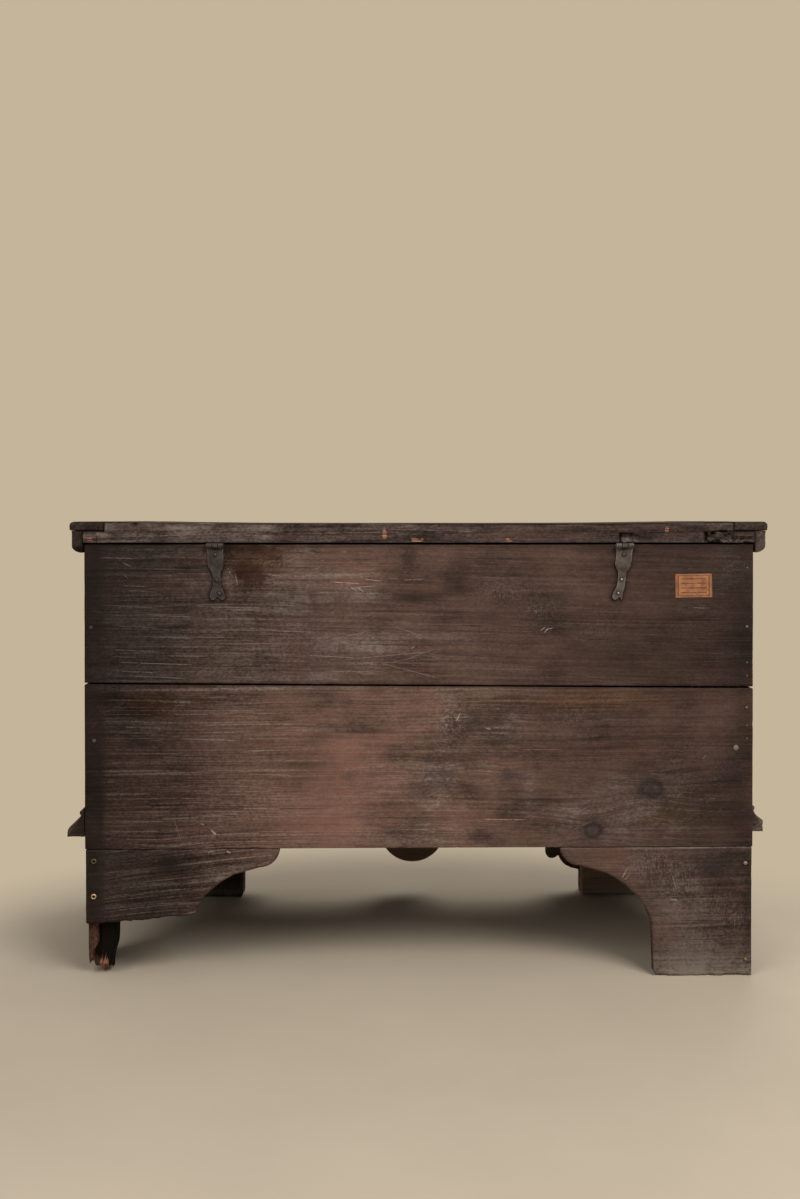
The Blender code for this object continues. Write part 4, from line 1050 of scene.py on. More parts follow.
# Rear brackets
BRACKET_RED = (
    (-0.357, 0.215, 0.06, 0.04, 0.85), (-0.48, 0.09, 0.03, 0.07, 0.55), (0.3, 0.235, 0.06, 0.02, 0.25),
)
BRACKET_SCUFF = (
    (-0.49, 0.19, 0.05, 0.05, 0.95), (-0.52, 0.12, 0.05, 0.06, 0.8), (-0.57, 0.06, 0.06, 0.03, 0.7),
    (-0.61, 0.15, 0.02, 0.08, 0.4), (0.36, 0.2, 0.06, 0.03, 0.5), (0.44, 0.14, 0.05, 0.012, 0.6),
)
BRACKET_DARK = (
    (-0.56, 0.215, 0.055, 0.03, 0.45), (0.622, 0.15, 0.024, 0.2, 0.55), (0.4776, 0.2205, 0.022, 0.018, 0.8),
    (-0.627, 0.12, 0.008, 0.15, 0.5), (0.56, 0.235, 0.06, 0.015, 0.3),
)
BRACKET_CRACKLE = (
    (-0.435, 0.225, 0.03, 0.03, 1.1), (-0.465, 0.2, 0.03, 0.035, 1.3), (-0.5, 0.17, 0.03, 0.03, 1.1),
    (-0.54, 0.145, 0.04, 0.025, 1.0), (-0.59, 0.115, 0.04, 0.025, 0.9), (-0.52, 0.06, 0.07, 0.04, 0.8),
    (0.44, 0.2, 0.04, 0.03, 0.6),
)
BRACKET_RAW = ((0.43, 0.124, 0.014, 0.008, 1.0), (0.5, 0.225, 0.006, 0.01, 0.75))
TORN_END = (0.632, 0.102)  # X and Z of the torn edge at the chest's end
TORN_SLOPE = 0.0855


def torn_foot(skin, marks, outer):
    """The right foot was torn off along the grain."""
    p = skin.points
    x, y, z = p.T
    x -= 0.0060 * smooth(x, 0.475, 0.440) * smooth(z, 0.150, 0.122)
    above = z - TORN_END[1] - (TORN_END[0] - x) * TORN_SLOPE
    reach = fade(above, 0.007) * smooth(x, 0.440, 0.470)
    teeth = 0.5 + 0.5 * fractal(p, (190, 260, 20), 3, 4) + 0.6 * np.clip(fractal(p, (60, 90, 10), 2, 9), 0, 1)
    z += 0.0050 * reach * np.clip(teeth, 0, 1.3)
    y -= 0.0030 * reach * np.clip(fractal(p, (90, 50, 60), 2, 12), 0, 1) * outer
    splinters = bell(np.clip(above - 0.003, 0, 1), 0.0035) * smooth(fractal(p, 30, 2, 36), -0.1, 0.5)
    marks["raw"] *= 0.5
    marks.most("raw", 0.30 * splinters)
    marks.most("raw", 0.55 * blobs(p, BRACKET_RAW, 12))
    heart = np.exp(-oval(p, 0.477, 0.219, 0.017, 0.016))
    marks["tone"] = 0.27 + 0.68 * bell(x - 0.29, 0.13)
    pale = 1.5 * (0.62 + 0.6 * fractal(p, (5, 10, 10), 2, 6))
    marks["pale"] = pale * smooth(x, 0.605, 0.59) * (1 - 0.9 * heart)
    marks["grain"][:, 0] *= 0.6
    # Painted shade on the faces of the nose and arch that turn away from the back, besides the dark knot
    marks["dark"] = np.maximum(0.7 * heart, 0.85 * smooth(skin.out[:, 1], 0.5, 0.2) * smooth(x, 0.31, 0.29))
    marks["dust"] = 0.02 * outer


def worn_foot(skin, marks, outer, top):
    """The left foot is whole, and frayed and dusty along the floor."""
    p = skin.points
    x, y, z = p.T
    wear = np.exp(-z / 0.006)
    frayed = np.clip(0.15 + fractal(p, (45, 40, 30), 3, 31), 0, 1)
    y -= outer * wear * 0.011 * frayed
    z += np.exp(-z / 0.012) * 0.0055 * np.clip(fractal(p, (50, 60, 20), 3, 33) - 0.05, 0, 1)
    x -= 0.0045 * smooth(x, -0.454, -0.443) * smooth(z, 0.011, 0.001)
    marks.most("raw", 0.50 * bell(z, 0.007) * smooth(fractal(p, (60, 40, 90), 3, 35), -0.3, 0.3))
    marks["tone"] = 0.53 + 0.14 * bell(x + 0.44, 0.10) - 0.08 * smooth(x, -0.52, -0.62)
    marks["tone"] *= 1 + 0.22 * smooth(x, -0.44, -0.39)
    marks["crackle"] = outer * blobs(p, BRACKET_CRACKLE, 13)
    joint = smooth(z, top - 0.0026, top - 0.0012) * smooth(x, -0.36, -0.42)
    dust = 0.74 * bell(z, 0.050) + 0.08 + 0.9 * bell(z, 0.009)
    marks["dust"] = outer * np.maximum(dust, 0.9 * joint)
    marks["dark"] = 0.5 * outer * wear * smooth(frayed, 0.35, 0.7)
    marks["pale"] = np.full(len(p), 0.3)


def bracket(side, seed):
    """Rear bracket with its foot, one whole and one torn."""
    name = f"rear_bracket_{side}"
    broken = side == "right"
    skin = solid_skin(name, 0.0026, seed, 1, 0.0012)
    p = skin.points
    x, y, z = p.T
    x += np.sign(x) * 0.0019 * smooth(np.abs(x), 0.45, 0.62)
    marks = facts(skin, "X", seed, pith=(0.06, 0.28), slope=0.09 if broken else 0.02)
    outer = smooth(y, BACK_Y - 0.006, BACK_Y - 0.002)
    if broken:
        torn_foot(skin, marks, outer)
        frayed = 0.0
    else:
        worn_foot(skin, marks, outer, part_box(name)[1].z)
        frayed = 1.6 * bell(z, 0.009)
    marks["red"] = outer * (0.12 + blobs(p, BRACKET_RED, 5))
    marks["scuff"] = outer * (0.15 + blobs(p, BRACKET_SCUFF, 6) + frayed)
    marks.most("dark", outer * np.maximum(blobs(p, BRACKET_DARK, 7), 0.6 * knot_rings(p, KNOTS, 15)))
    marks["bare"] = 0.8 * (1 - smooth(y, BACK_Y - 0.019, BACK_Y - 0.012)) * smooth(z, 0.01, 0.02)
    piece(name, skin, "case", "base_wood", BRACKET_WOOD, marks)


bracket("left", 31)
bracket("right", 33)


# Aprons and blocks
def shaped(name, kind, voxel, axis, seed, wear, pith, change):
    """Sawn piece of any outline, with its own marks."""
    skin = solid_skin(name, voxel, seed, 2, wear)
    marks = facts(skin, axis, seed, pith=pith)
    change(skin, marks)
    piece(name, skin, *kind, marks)


def base_marks(skin, marks):
    """Aprons: dusty and chipped near the floor, unfinished inside."""
    p = skin.points
    x, y, z = p.T
    low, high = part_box("front_apron")
    marks["dust"] = 0.75 * bell(z, 0.040) + 0.08
    marks.most("raw", 0.7 * bell(z, 0.005) * smooth(fractal(p, 40, 2, 41), -0.2, 0.4))
    inward = (np.abs(x) < high.x - 0.020) & (y > low.y + 0.018)
    marks["bare"] = 0.7 * inward
    marks["tone"] += 0.08 + inward * np.where(np.abs(x) < 0.1, 0.30, -0.17)


def torn_apron(skin, marks):
    """The rear end is broken off above the floor, with a ragged end."""
    base_marks(skin, marks)
    p = skin.points
    x, y, z = p.T
    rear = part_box("side_apron_right")[1].y
    torn = fade(rear - y, 0.006) * smooth(z, 0.120, 0.095)
    ends = smooth(y, rear - 0.052, rear - 0.040)
    old_foot = np.clip(0.9 * (y - rear + 0.040), 0, 1)
    ragged = 0.029 + 0.011 * fractal(p, (170, 60, 20), 3, 47)
    new_foot = old_foot + ends * np.clip(ragged - old_foot, 0, 1)
    share = np.clip((0.1 - z) / (0.1 - old_foot), 0, 1.2)
    z[:] = np.where(z < 0.1, 0.1 - share * (0.1 - new_foot), z)
    y -= 0.008 * torn * np.clip(0.4 + fractal(p, (150, 60, 30), 3, 43), 0, 1.4)
    x += 0.0028 * smooth(y, rear - 0.10, rear - 0.03) * smooth(z, 0.20, 0.12)
    outside = x.max()
    x[:] = outside - (outside - x) * (1 - 0.62 * ends * smooth(z, 0.070, 0.036))
    marks.most("raw", np.maximum(0.62 * torn, 0.5 * ends * share))
    edge = np.exp(-np.minimum(x.max() - x, x - x.min()) / 0.004)
    # Dirt and painted shade darken the torn end
    shade = 0.78 + 0.3 * edge + 0.4 * fractal(p, 60, 3, 49) + 0.2 * smooth(z, 0.075, 0.045)
    marks.most("dark", np.clip(shade, 0.70, 0.97) * torn)
    marks["tone"] = np.where(torn > 0.3, 0.4, marks["tone"])
    marks["dust"] *= (1 - torn) * (1 - ends)


def torn_block(skin, marks):
    """The corner block behind the torn foot is splintered, and painted dark with shade away from the break.
    """
    p = skin.points
    x, y, z = p.T
    low = np.exp(-z / 0.016)
    z += 0.016 * low * np.clip(0.45 + 0.8 * fractal(p, (170, 150, 26), 3, 51), 0, 1.4)
    y -= 0.004 * low * np.clip(fractal(p, (120, 60, 40), 2, 53), 0, 1)
    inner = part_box("corner_block_rear_right")[1].x - 0.004
    taper = 0.10 * smooth(z, 0.085, 0.010) + 0.12 * np.clip(fractal(p, (90, 90, 30), 2, 55), 0, 1)
    x[:] = inner + (x - inner) * (1 - taper)
    x += 0.0052 * smooth(z, 0.060, 0.020)
    inward = smooth(x + 0.004 * fractal(p, (90, 90, 40), 2, 57), 0.590, 0.597)
    marks["raw"] = np.maximum(0.5 * marks["raw"], 0.85 * bell(z, 0.044)) * (0.25 + 0.75 * inward)
    # Painted shade over the block, away from the raw break
    marks["dark"] = 0.99 * np.maximum(1 - bell(np.clip(z - 0.028, 0, 1), 0.018), 1 - inward)
    marks["tone"] *= 0.10


def block_marks(skin, marks):
    """Blocks behind the feet: painted light, a lighter tone and a pale film, on the chest's left, painted
    shade on its right, and dust near the floor.
    """
    x, _, z = skin.points.T
    lit = x[0] < 0
    marks["bare"] = np.full(len(x), 0.5)
    # Painted light and shade: lighter with a pale film on the chest's left, much darker on its right
    marks["tone"] *= 2.8 if lit else 0.32
    marks["dust"] = 0.5 * bell(z, 0.03) + (0.45 if lit else 0.0)


shaped("front_apron", BASE, 0.0030, "X", 41, 0.0018, (0.07, 0.15), base_marks)
shaped("side_apron_left", BASE, 0.0045, "Y", 43, 0.0016, (0.07, -0.12), base_marks)
shaped("side_apron_right", BASE, 0.0032, "Y", 45, 0.0016, (0.07, -0.10), torn_apron)
shaped("corner_block_rear_right", BLOCK, 0.0028, "Z", 47, 0.0016, (0.03, 0.04), torn_block)
shaped("corner_block_rear_left", BLOCK, 0.0040, "Z", 49, 0.0016, (0.03, 0.04), block_marks)
for side in SIDES:
    shaped(f"foot_block_front_{side}", BLOCK, 0.0050, "X", 51, 0.0016, (0.03, 0.06), block_marks)


# Mouldings
def broken_end(skin, marks):
    """The left base moulding is broken off short of the back."""
    p = skin.points
    x, y, _ = p.T
    end = y.max()
    near = fade(end - y, 0.008)
    y -= 0.0035 * near * np.clip(0.4 + fractal(p, (110, 40, 110), 3, 61), 0, 1.3)
    lip = np.clip(-x - 0.6605 + 0.002 * fractal(p, 70, 2, 63), 0, 1)
    x += lip * smooth(y, end - 0.060, end - 0.012)
    for key in ("raw", "dark"):
        marks.most(key, 0.35 * near)


def moulding(name, axis, seed, kind):
    """Run of moulding on the base or the lid."""
    skin = run_skin(name, axis, seed)
    x, y, z = skin.points.T
    marks = facts(skin, "XYZ"[axis], seed, pith=(0.03, 0.05))
    on_lid = kind is LID
    if on_lid:
        # Painted shade along the top of the lid mouldings, under the cleats
        marks.most("dark", 0.8 * smooth(z, LAYER_Z - 0.0025, LAYER_Z - 0.0008))
    else:
        marks["dust"] = 0.22 * smooth(skin.out[:, 2], 0.2, 0.9)
    if axis == 1:
        # The hinged end is painted lighter and more rubbed on the chest's left, where the light falls, and
        # painted darker, in shade, on its right
        end = fade(y.max() - y, 0.02)
        lit = x[0] < 0
        lighter = 0.20 if on_lid else 0.58
        marks["tone"] *= 1 + (lighter if lit else -0.62) * end
        marks["raw"] *= 1 - 0.6 * end
        marks["scuff"] += (0.6 if lit else 0.2) * end
        # Painted shade in the gap along the inner side of the end
        marks.most("dark", 0.85 * end * fade(np.abs(x) - np.abs(x).min(), 0.0022))
        # Painted shade in the lower cove of the lid moulding on the chest's right
        if on_lid and not lit:
            marks.most("dark", 0.92 * end * smooth(z, 0.8230, 0.8200))
    if name == "base_moulding_left":
        broken_end(skin, marks)
    piece(name, skin, *kind, marks, 34)


seed = 60
for level, kind in (("base", BASE), ("lid", LID)):
    for place, axis in (("front", 0), ("left", 1), ("right", 1)):
        seed += 1
        moulding(f"{level}_moulding_{place}", axis, seed, kind)

# Lid
LID_RAW = (
    (0.068, 0.851, 0.0024, 0.007, 1.0), (0.0676, 0.845, 0.0034, 0.006, 1.0),
    (0.0672, 0.8385, 0.0048, 0.005, 1.1), (0.012, 0.834, 0.006, 0.004, 1.1),
    (0.004, 0.8315, 0.006, 0.003, 1.0), (-0.004, 0.8335, 0.003, 0.003, 0.9),
    (-0.166, 0.833, 0.004, 0.004, 1.1), (-0.172, 0.8315, 0.004, 0.003, 0.9),
    (-0.47, 0.8535, 0.004, 0.006, 1.1), (0.6245, 0.8345, 0.0105, 0.0055, 0.72),
    (-0.486, 0.851, 0.005, 0.003, 0.55), (-0.3, 0.85, 0.012, 0.002, 0.6), (-0.03, 0.86, 0.008, 0.002, 0.6),
)
LID_DENTS = (
    (0.54, 0.866, 0.006, 0.004, 0.005), (0.0675, 0.846, 0.0045, 0.012, 0.0022),
    (0.47, 0.862, 0.01, 0.003, 0.002), (-0.17, 0.831, 0.008, 0.004, 0.0025),
    (0.008, 0.832, 0.012, 0.0035, 0.0028), (-0.47, 0.853, 0.005, 0.005, 0.003),
    (0.616, 0.833, 0.007, 0.004, 0.0022), (-0.33, 0.862, 0.012, 0.003, 0.0018),
    (-0.12, 0.862, 0.016, 0.0025, 0.0016), (0.02, 0.862, 0.03, 0.003, 0.0018),
    (-0.44, 0.84, 0.02, 0.004, 0.0016), (-0.5, 0.838, 0.012, 0.006, 0.0025),
)
# Dark patches on the back edge of the lid; the strongest, at X 0.539, is painted shade in a dent
LID_DARK = (
    (-0.13, 0.856, 0.04, 0.006, 0.6), (-0.3, 0.853, 0.03, 0.008, 0.5), (0.18, 0.858, 0.05, 0.005, 0.5),
    (0.33, 0.838, 0.03, 0.006, 0.4), (-0.43, 0.838, 0.03, 0.008, 0.6), (-0.52, 0.856, 0.03, 0.006, 0.6),
    (0.29, 0.847, 0.02, 0.004, 0.5), (-0.02, 0.844, 0.04, 0.006, 0.35), (-0.61, 0.858, 0.03, 0.005, 0.4),
    (0.4, 0.861, 0.07, 0.003, 0.7), (-0.06, 0.861, 0.06, 0.003, 0.5), (0.575, 0.843, 0.018, 0.009, 0.65),
    (0.548, 0.836, 0.018, 0.005, 0.7), (0.56, 0.857, 0.02, 0.004, 0.6), (0.539, 0.8645, 0.005, 0.0045, 1.4),
    (0.5, 0.846, 0.03, 0.003, 0.5),
)
LID_SCUFF = ((0.46, 0.856, 0.1, 0.008, 1.0), (0.02, 0.86, 0.06, 0.004, 1.0))
LID_CRACKLE = ((-0.58, 0.845, 0.06, 0.02, 0.8), (0.3, 0.855, 0.05, 0.008, 0.5))
LID_RED = ((-0.2, 0.84, 0.12, 0.02, 0.4), (-0.45, 0.852, 0.05, 0.008, 0.8))
LID_JOINT = 0.6116         # upright joint in the back edge, near the chest's right end


def lid_marks(skin, marks):
    """Lid pieces: unfinished below, scuffed and dusty on top."""
    p = skin.points
    up = skin.out[:, 2]
    under = smooth(p[:, 2], LID_Z + 0.004, LID_Z + 0.001) * (up < -0.5)
    top = smooth(up, 0.5, 0.9)
    marks["bare"] = 0.85 * under
    marks["dust"] = 0.10 * top * smooth(p[:, 1], 0.27, 0.20)
    marks["scuff"] += 0.35 * top * smooth(fractal(p, 5, 3, 71), -0.2, 0.5)
    marks["tone"] += 0.10 * under


def lid_plank_back():
    """Back plank of the lid: hollowed on top, stepped for the cleats, with a battered back edge."""
    low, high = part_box("lid_plank_back")
    step_x = CLEAT_IN - FIT
    columns = [way * (step_x + d) for way in (-1, 1) for d in (-0.0001, 0.0001)]
    columns += [LID_JOINT - 0.0007, LID_JOINT, LID_JOINT + 0.0007]
    rows = [high.y - d for d in (0.014, 0.018, 0.023)]
    blank = ((low.x, low.y, LID_Z), (high.x, high.y, LID_TOP))
    skin = box_skin(*blank, (0.0023, 0.012, 0.0020), 73, 0.0018, 0.0034, (columns, rows, ()))
    p = skin.points
    x, y, z = p.T
    outer = smooth(y, high.y - 0.012, high.y - 0.0015)
    wedge = fractal(p, (40, 40, 60), 3, 75)

    # Notch over the left hinge, and the break near the left end
    notch = smooth(x, -0.4065, -0.4035) * smooth(x, -0.3775, -0.3800) * smooth(z, 0.8490, 0.8460)
    beside = smooth(x, -0.420, -0.412) * smooth(x, -0.400, -0.404) * smooth(z, 0.846, 0.842)
    notch = np.maximum(notch, 0.55 * beside)
    ragged_z = 0.8495 + 0.0030 * fractal(p, (60, 10, 10), 2, 74)
    burst = smooth(x, -0.640, -0.628) * smooth(x, -0.538, -0.546) * smooth(z - ragged_z, 0.0020, -0.0020)
    burst *= 0.45 + 0.55 * smooth(x, -0.600, -0.585)
    lumps = fractal(p, (130, 60, 160), 3, 76)
    crags = np.clip(0.55 + 0.8 * wedge + 1.2 * lumps, 0.0, 1.4)
    y -= outer * notch * np.clip(0.0085 + 0.006 * lumps, 0.002, 0.011)
    y -= 0.0085 * outer * burst * crags
    for *place, depth in LID_DENTS:
        y -= outer * depth * np.exp(-oval(p, *place)) * np.clip(1 + 0.8 * wedge, 0.2, 1.6)
    chips = smooth(fractal(p, (42, 20, 20), 3, 77), 0.22, 0.55) * smooth(z, LID_TOP - 0.011, LID_TOP - 0.003)
    y -= 0.0030 * outer * chips
    groove = bell(x - LID_JOINT, 0.0006) * (z < LAYER_Z)
    y -= 0.0016 * outer * groove

    # Hollow top and the steps for the cleats
    t = np.minimum(1, np.abs(x) / CLEAT_IN)
    top = np.where(np.abs(x) < step_x, LID_TOP - 0.0040 * (1 - t ** 4), LAYER_Z - FIT)
    rise = np.clip((z - LID_Z) / (LID_TOP - LID_Z), 0, 1)
    z[:] = LID_Z + rise * (top - LID_Z)
    ripple = 0.0009 * (fractal(p, (26, 5, 5), 3, 79) - 0.4) * outer
    z[:] = np.minimum(z + np.where(rise > 0.8, np.minimum(ripple, 0), 0), LID_TOP)

    # Marks on the back edge
    marks = facts(skin, "X", 73, pith=(0.05, -0.08))
    lid_marks(skin, marks)
    face = smooth(y, high.y - 0.016, high.y - 0.010) * (np.abs(skin.out[:, 2]) < 0.9)
    level = 0.66 + 0.10 * bell(x - 0.42, 0.25) - 0.14 * smooth(x, -0.2, -0.55)
    level *= 1 - 0.22 * smooth(x, LID_JOINT - 0.001, LID_JOINT + 0.001)
    level *= 1 + 0.2 * fractal(p, (9, 9, 30), 3, 81)
    marks["tone"] = face * (level + 0.12 * notch) + (1 - face) * marks["tone"]
    marks["raw"] *= 0.6
    marks.most("raw", face * blobs(p, LID_RAW, 8))
    marks["scuff"] *= 1 - face
    marks["scuff"] += face * (0.35 + 0.5 * blobs(p, LID_SCUFF, 9) + 0.75 * smooth(x, 0.05, 0.35))
    marks["pale"] += face * 0.35
    marks["dust"] += face * 0.10 * smooth(x, 0.10, 0.42) * smooth(x, 0.62, 0.55)
    marks["crackle"] = face * blobs(p, LID_CRACKLE, 16)
    marks["red"] += face * blobs(p, LID_RED, 10)

    # Painted shade in the notch, in the burst and along the top arris; dark joints and cracks
    notch_shade = np.clip(0.12 + 1.5 * smooth(x, -0.388, -0.380) + smooth(z, 0.8435, 0.8475), 0, 0.95)
    crack = bell(z - 0.8515 + 0.05 * (x + 0.590), 0.0009) * smooth(x, -0.52, -0.535)
    arris_shade = smooth(z, top - 0.0042, top - 0.0012) * smooth(fractal(p, (16, 4, 4), 3, 83), -0.6, 0.0)
    housing = bell(np.abs(x) - step_x, 0.0022) * (z > LAYER_Z - 0.002)
    marks["dark"] = marks["dark"] * (1 - face) + 0.1 * face
    for shade in (notch * notch_shade, 0.95 * burst * smooth(crags, 0.25, 0.9), 0.85 * arris_shade):
        marks.most("dark", outer * shade)
    for shade in (0.9 * groove, 0.8 * crack, 0.9 * housing, blobs(p, LID_DARK, 17)):
        marks.most("dark", face * shade)
    piece("lid_plank_back", skin, *LID, marks)


def cleat_marks(skin, marks):
    """Cleats: dark round the rim of the end that faces back; the cleat on the chest's right is painted
    darker, in shade, than the one on its left.
    """
    lid_marks(skin, marks)
    x, y, _ = skin.points.T
    lit = x[0] < 0
    face = smooth(y, y.max() - 0.012, y.max() - 0.006)
    # Painted light on the left cleat and painted shade on the right one
    marks["tone"] *= 0.85 if lit else 0.55
    marks.most("scuff", face * (0.45 if lit else 0.35))
    marks["crackle"] = 0.3 * face
    marks["dark"] *= 1 - 0.6 * face
    marks.most("dark", 0.85 * face * bell(skin.edge, 0.0024))
    marks["raw"] *= 1 - face


lid_plank_back()
shaped("lid_plank_front", LID, 0.0050, "X", 83, 0.0016, (0.06, 0.10), lid_marks)
shaped("lid_cleat_left", LID, 0.0026, "Y", 85, 0.0020, (0.05, 0.03), cleat_marks)
shaped("lid_cleat_right", LID, 0.0026, "Y", 87, 0.0020, (0.05, 0.03), cleat_marks)


# Hinges
def iron_piece(name, voxel, body, seed, wear, material):
    """Part of a hinge, with a painted highlight on its rubbed edges, dirt round its nails, and painted shade
    where the leaf meets the board.
    """
    skin = solid_skin(name, voxel, seed, 1, wear)
    skin.sink(0.00012 * (1 + fractal(skin.points, 160, 3, seed)))
    x, y, z = skin.points.T
    # Painted highlight along the rubbed edges
    rim = bell(skin.edge, 0.0013) * (np.abs(skin.out[:, 1]) > 0.35)
    dirt_and_shade = np.zeros(len(x))
    if "leaf" in name:
        side = name.split("_")[-1]
        x += lean(z, side)
        for i in (1, 2, 3):
            low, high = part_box(f"leaf_nail_{side}_{i}")
            at = (low + high) / 2
            gap = np.hypot(x - at.x - lean(at.z, side), z - at.z)
            dirt_and_shade = np.maximum(dirt_and_shade, np.exp(-(gap / 0.0050) ** 4))
        # Painted shade where the leaf meets the board
        dirt_and_shade = np.maximum(dirt_and_shade, smooth(y, BACK_Y + 0.0012, BACK_Y + 0.0004))
    obj = piece(name, skin, body, "iron", material, crease=50)
    write_vectors(obj.data, "rubbed", [rim, dirt_and_shade, 0 * rim])


# The hinge on the chest's right gets the darker copy of the iron, painted shade
for side, metal in zip(SIDES, (IRON, SHADED_IRON)):
    iron_piece(f"hinge_leaf_{side}", 0.0008, "case", 91, 0.0004, metal)
    iron_piece(f"hinge_strap_{side}", 0.0013, "lid", 93, 0.0005, metal)
    iron_piece(f"hinge_pin_{side}", 0.0005, "case", 95, 0.0002, metal)

# Nails and screws: outlines are rows of radius and height, as shares of the head's
HEAD_HIGH = 0.0020
SHORT = (0.0016, 0.016)    # radius and length of a shank
LONG = (0.0022, 0.050)
NAIL_X = 0.622             # line of the nails in the front and the cleats
DOMED = ((0.99, 0.25), (0.90, 0.55), (0.66, 0.82), (0.34, 0.97), (0.08, 1.0))
RINGED = ((0.99, 0.25), (0.86, 0.75), (0.62, 0.95), (0.46, 0.70), (0.30, -0.15))
SMALL_HIGH = 0.0007
SMALL_DOME = ((0.94, 0.5), (0.7, 0.9), (0.3, 1.0))
WAYS = {"+Y": (-math.pi / 2, 0, 0), "-Y": (math.pi / 2, 0, 0), "+Z": (0, 0, 0), "-Z": (math.pi, 0, 0)}
MOVED = {"back_nail_right_lower": -0.0060, "bracket_screw_right_1": -0.0030, "bracket_screw_right_2": -0.0034}
BRIGHT_LEAF_NAILS = ("left_2", "left_3")
BACK_NAILS = {"left_lower": GREY_NAIL, "left_upper": GREY_NAIL,
              "right_lower": DARK_NAIL, "right_upper": BLACK_NAIL}
SCREWS = {"right_1": BRASS, "right_2": DULL_BRASS, "left_1": ORANGE_HEAD, "left_2": CREAM_HEAD}


def turned(profile, sides, seed, wobble):
    """Points and faces of a turned form about +Z with an uneven rim."""
    radius, height = np.array(profile).T[:, :, None]
    angle = 2 * math.pi * np.arange(sides) / sides
    rings = np.broadcast_arrays(radius * np.cos(angle), radius * np.sin(angle), height)
    points = np.stack(rings, -1).reshape(-1, 3)
    points[:, :2] *= 1 + wobble * fractal(points, 420, 2, seed)[:, None]
    points[:, 2] += 0.25 * wobble * profile[0][0] * fractal(points + 1.0, 520, 2, seed) * (points[:, 2] > 0)
    index = np.arange(len(points)).reshape(-1, sides)
    faces = [tuple(face) for face in belts(index).tolist()]
    return points, faces + [tuple(index[0, ::-1].tolist()), tuple(index[-1].tolist())]


def set_along(points, way, centre):
    """Turned form laid along a way at a place."""
    return points @ np.array(Euler(WAYS[way]).to_matrix()).T + np.array(centre)


def driven(node, way, head, size, body, slot, material, seed, ring=False):
    """Nail or screw in the place of its solid, with a domed or a ringed head."""
    shank, length = size
    low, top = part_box(node)
    centre = (low + top) / 2
    if way == "+Y":
        centre.y = top.y - HEAD_HIGH
    else:
        centre.z = low.z + HEAD_HIGH
    profile = [(0.35 * shank, -length), (shank, -0.75 * length), (shank, 0.0), (head, 0.0)]
    profile += [(r * head, z * HEAD_HIGH) for r, z in (RINGED if ring else DOMED)]
    points, faces = turned(profile, 18, seed, 0.03 if ring else 0.10)
    span = np.hypot(points[:, 0], points[:, 1]) / head
    points = np.clip(set_along(points, way, centre), np.array(low) - 0.0002, np.array(top))
    if node.startswith("leaf_nail"):
        points[:, 0] += lean(centre.z, node.split("_")[2])
    points[:, 0] += MOVED.get(node, 0.0)
    obj = piece(node, Skin(points, faces), body, slot, material, crease=40)
    hole = smooth(span, 0.56, 0.44) if ring else 0 * span
    write_vectors(obj.data, "head", [smooth(span, 0.80, 1.0), hole, 0 * span])


def small_heads(name, places, way, size, body, material, seed):
    """Plain heads that sit in the boards: one object for each kind."""
    profile = [(0.8 * size, -0.003), (size, -0.0005)]
    profile += [(r * size, z * SMALL_HIGH) for r, z in SMALL_DOME]
    heads, faces, spans = [], [], []
    for at in places:
        seed += 1
        points, made = turned(profile, 14, seed, 0.12)
        base = len(heads) * len(points)
        spans.append(np.hypot(points[:, 0], points[:, 1]) / size)
        heads.append(set_along(points, way, at))
        faces += [tuple(base + i for i in face) for face in made]
    obj = piece(name, Skin(np.concatenate(heads), faces), body, "iron", material, crease=40)
    span = np.concatenate(spans)
    write_vectors(obj.data, "head", [smooth(span, 0.80, 1.0), 0 * span, 0 * span])


seed = 100
for side in SIDES:
    right = side == "right"
    for key in (f"{side}_1", f"{side}_2", f"{side}_3"):
        seed += 1
        bright = key in BRIGHT_LEAF_NAILS
        driven(f"leaf_nail_{key}", "+Y", 0.0026 if bright else 0.0036, SHORT, "case", "iron",
               BRIGHT_NAIL if bright else DARK_NAIL, seed)
        driven(f"strap_nail_{key}", "-Z", 0.0036, SHORT, "lid", "iron", DARK_NAIL, seed + 40)
    for key in (f"{side}_lower", f"{side}_upper"):
        seed += 1
        driven(f"back_nail_{key}", "+Y", 0.0042 if right else 0.0032, LONG, "case", "iron",
               BACK_NAILS[key], seed)
    for key in (f"{side}_1", f"{side}_2"):
        seed += 1
        driven(f"bracket_screw_{key}", "+Y", 0.0056 if right else 0.0038, LONG, "case", "brass",
               SCREWS[key], seed, right)

edge_places = [(-0.6234, BACK_Y, z) for z in (0.5994, 0.5740, 0.4790, 0.4540, 0.7800)]
front_places = [(x, FRONT_Y, z) for x in (-NAIL_X, NAIL_X) for z in (0.33, 0.47, 0.62, 0.78)]
cleat_places = [(x, y, LID_TOP - 0.0012) for x in (-NAIL_X, NAIL_X) for y in (-0.22, 0.0, 0.22)]
small_heads("edge_nails", edge_places, "+Y", 0.0019, "case", GREY_NAIL, 161)
small_heads("pale_peg", [(-0.6025, BACK_Y, 0.4370)], "+Y", 0.0054, "case", PEG_END, 171)
small_heads("front_nails", front_places, "-Y", 0.0042, "case", DARK_NAIL, 181)
small_heads("cleat_nails", cleat_places, "+Z", 0.0040, "lid", DARK_NAIL, 191)

# Paper label
LABEL_SIZE = (0.0705, 0.0455)
LABEL_AT = (-0.5208, 0.7460)
LABEL_TILT = math.radians(-0.8)
PAPER_THICK = 0.00018


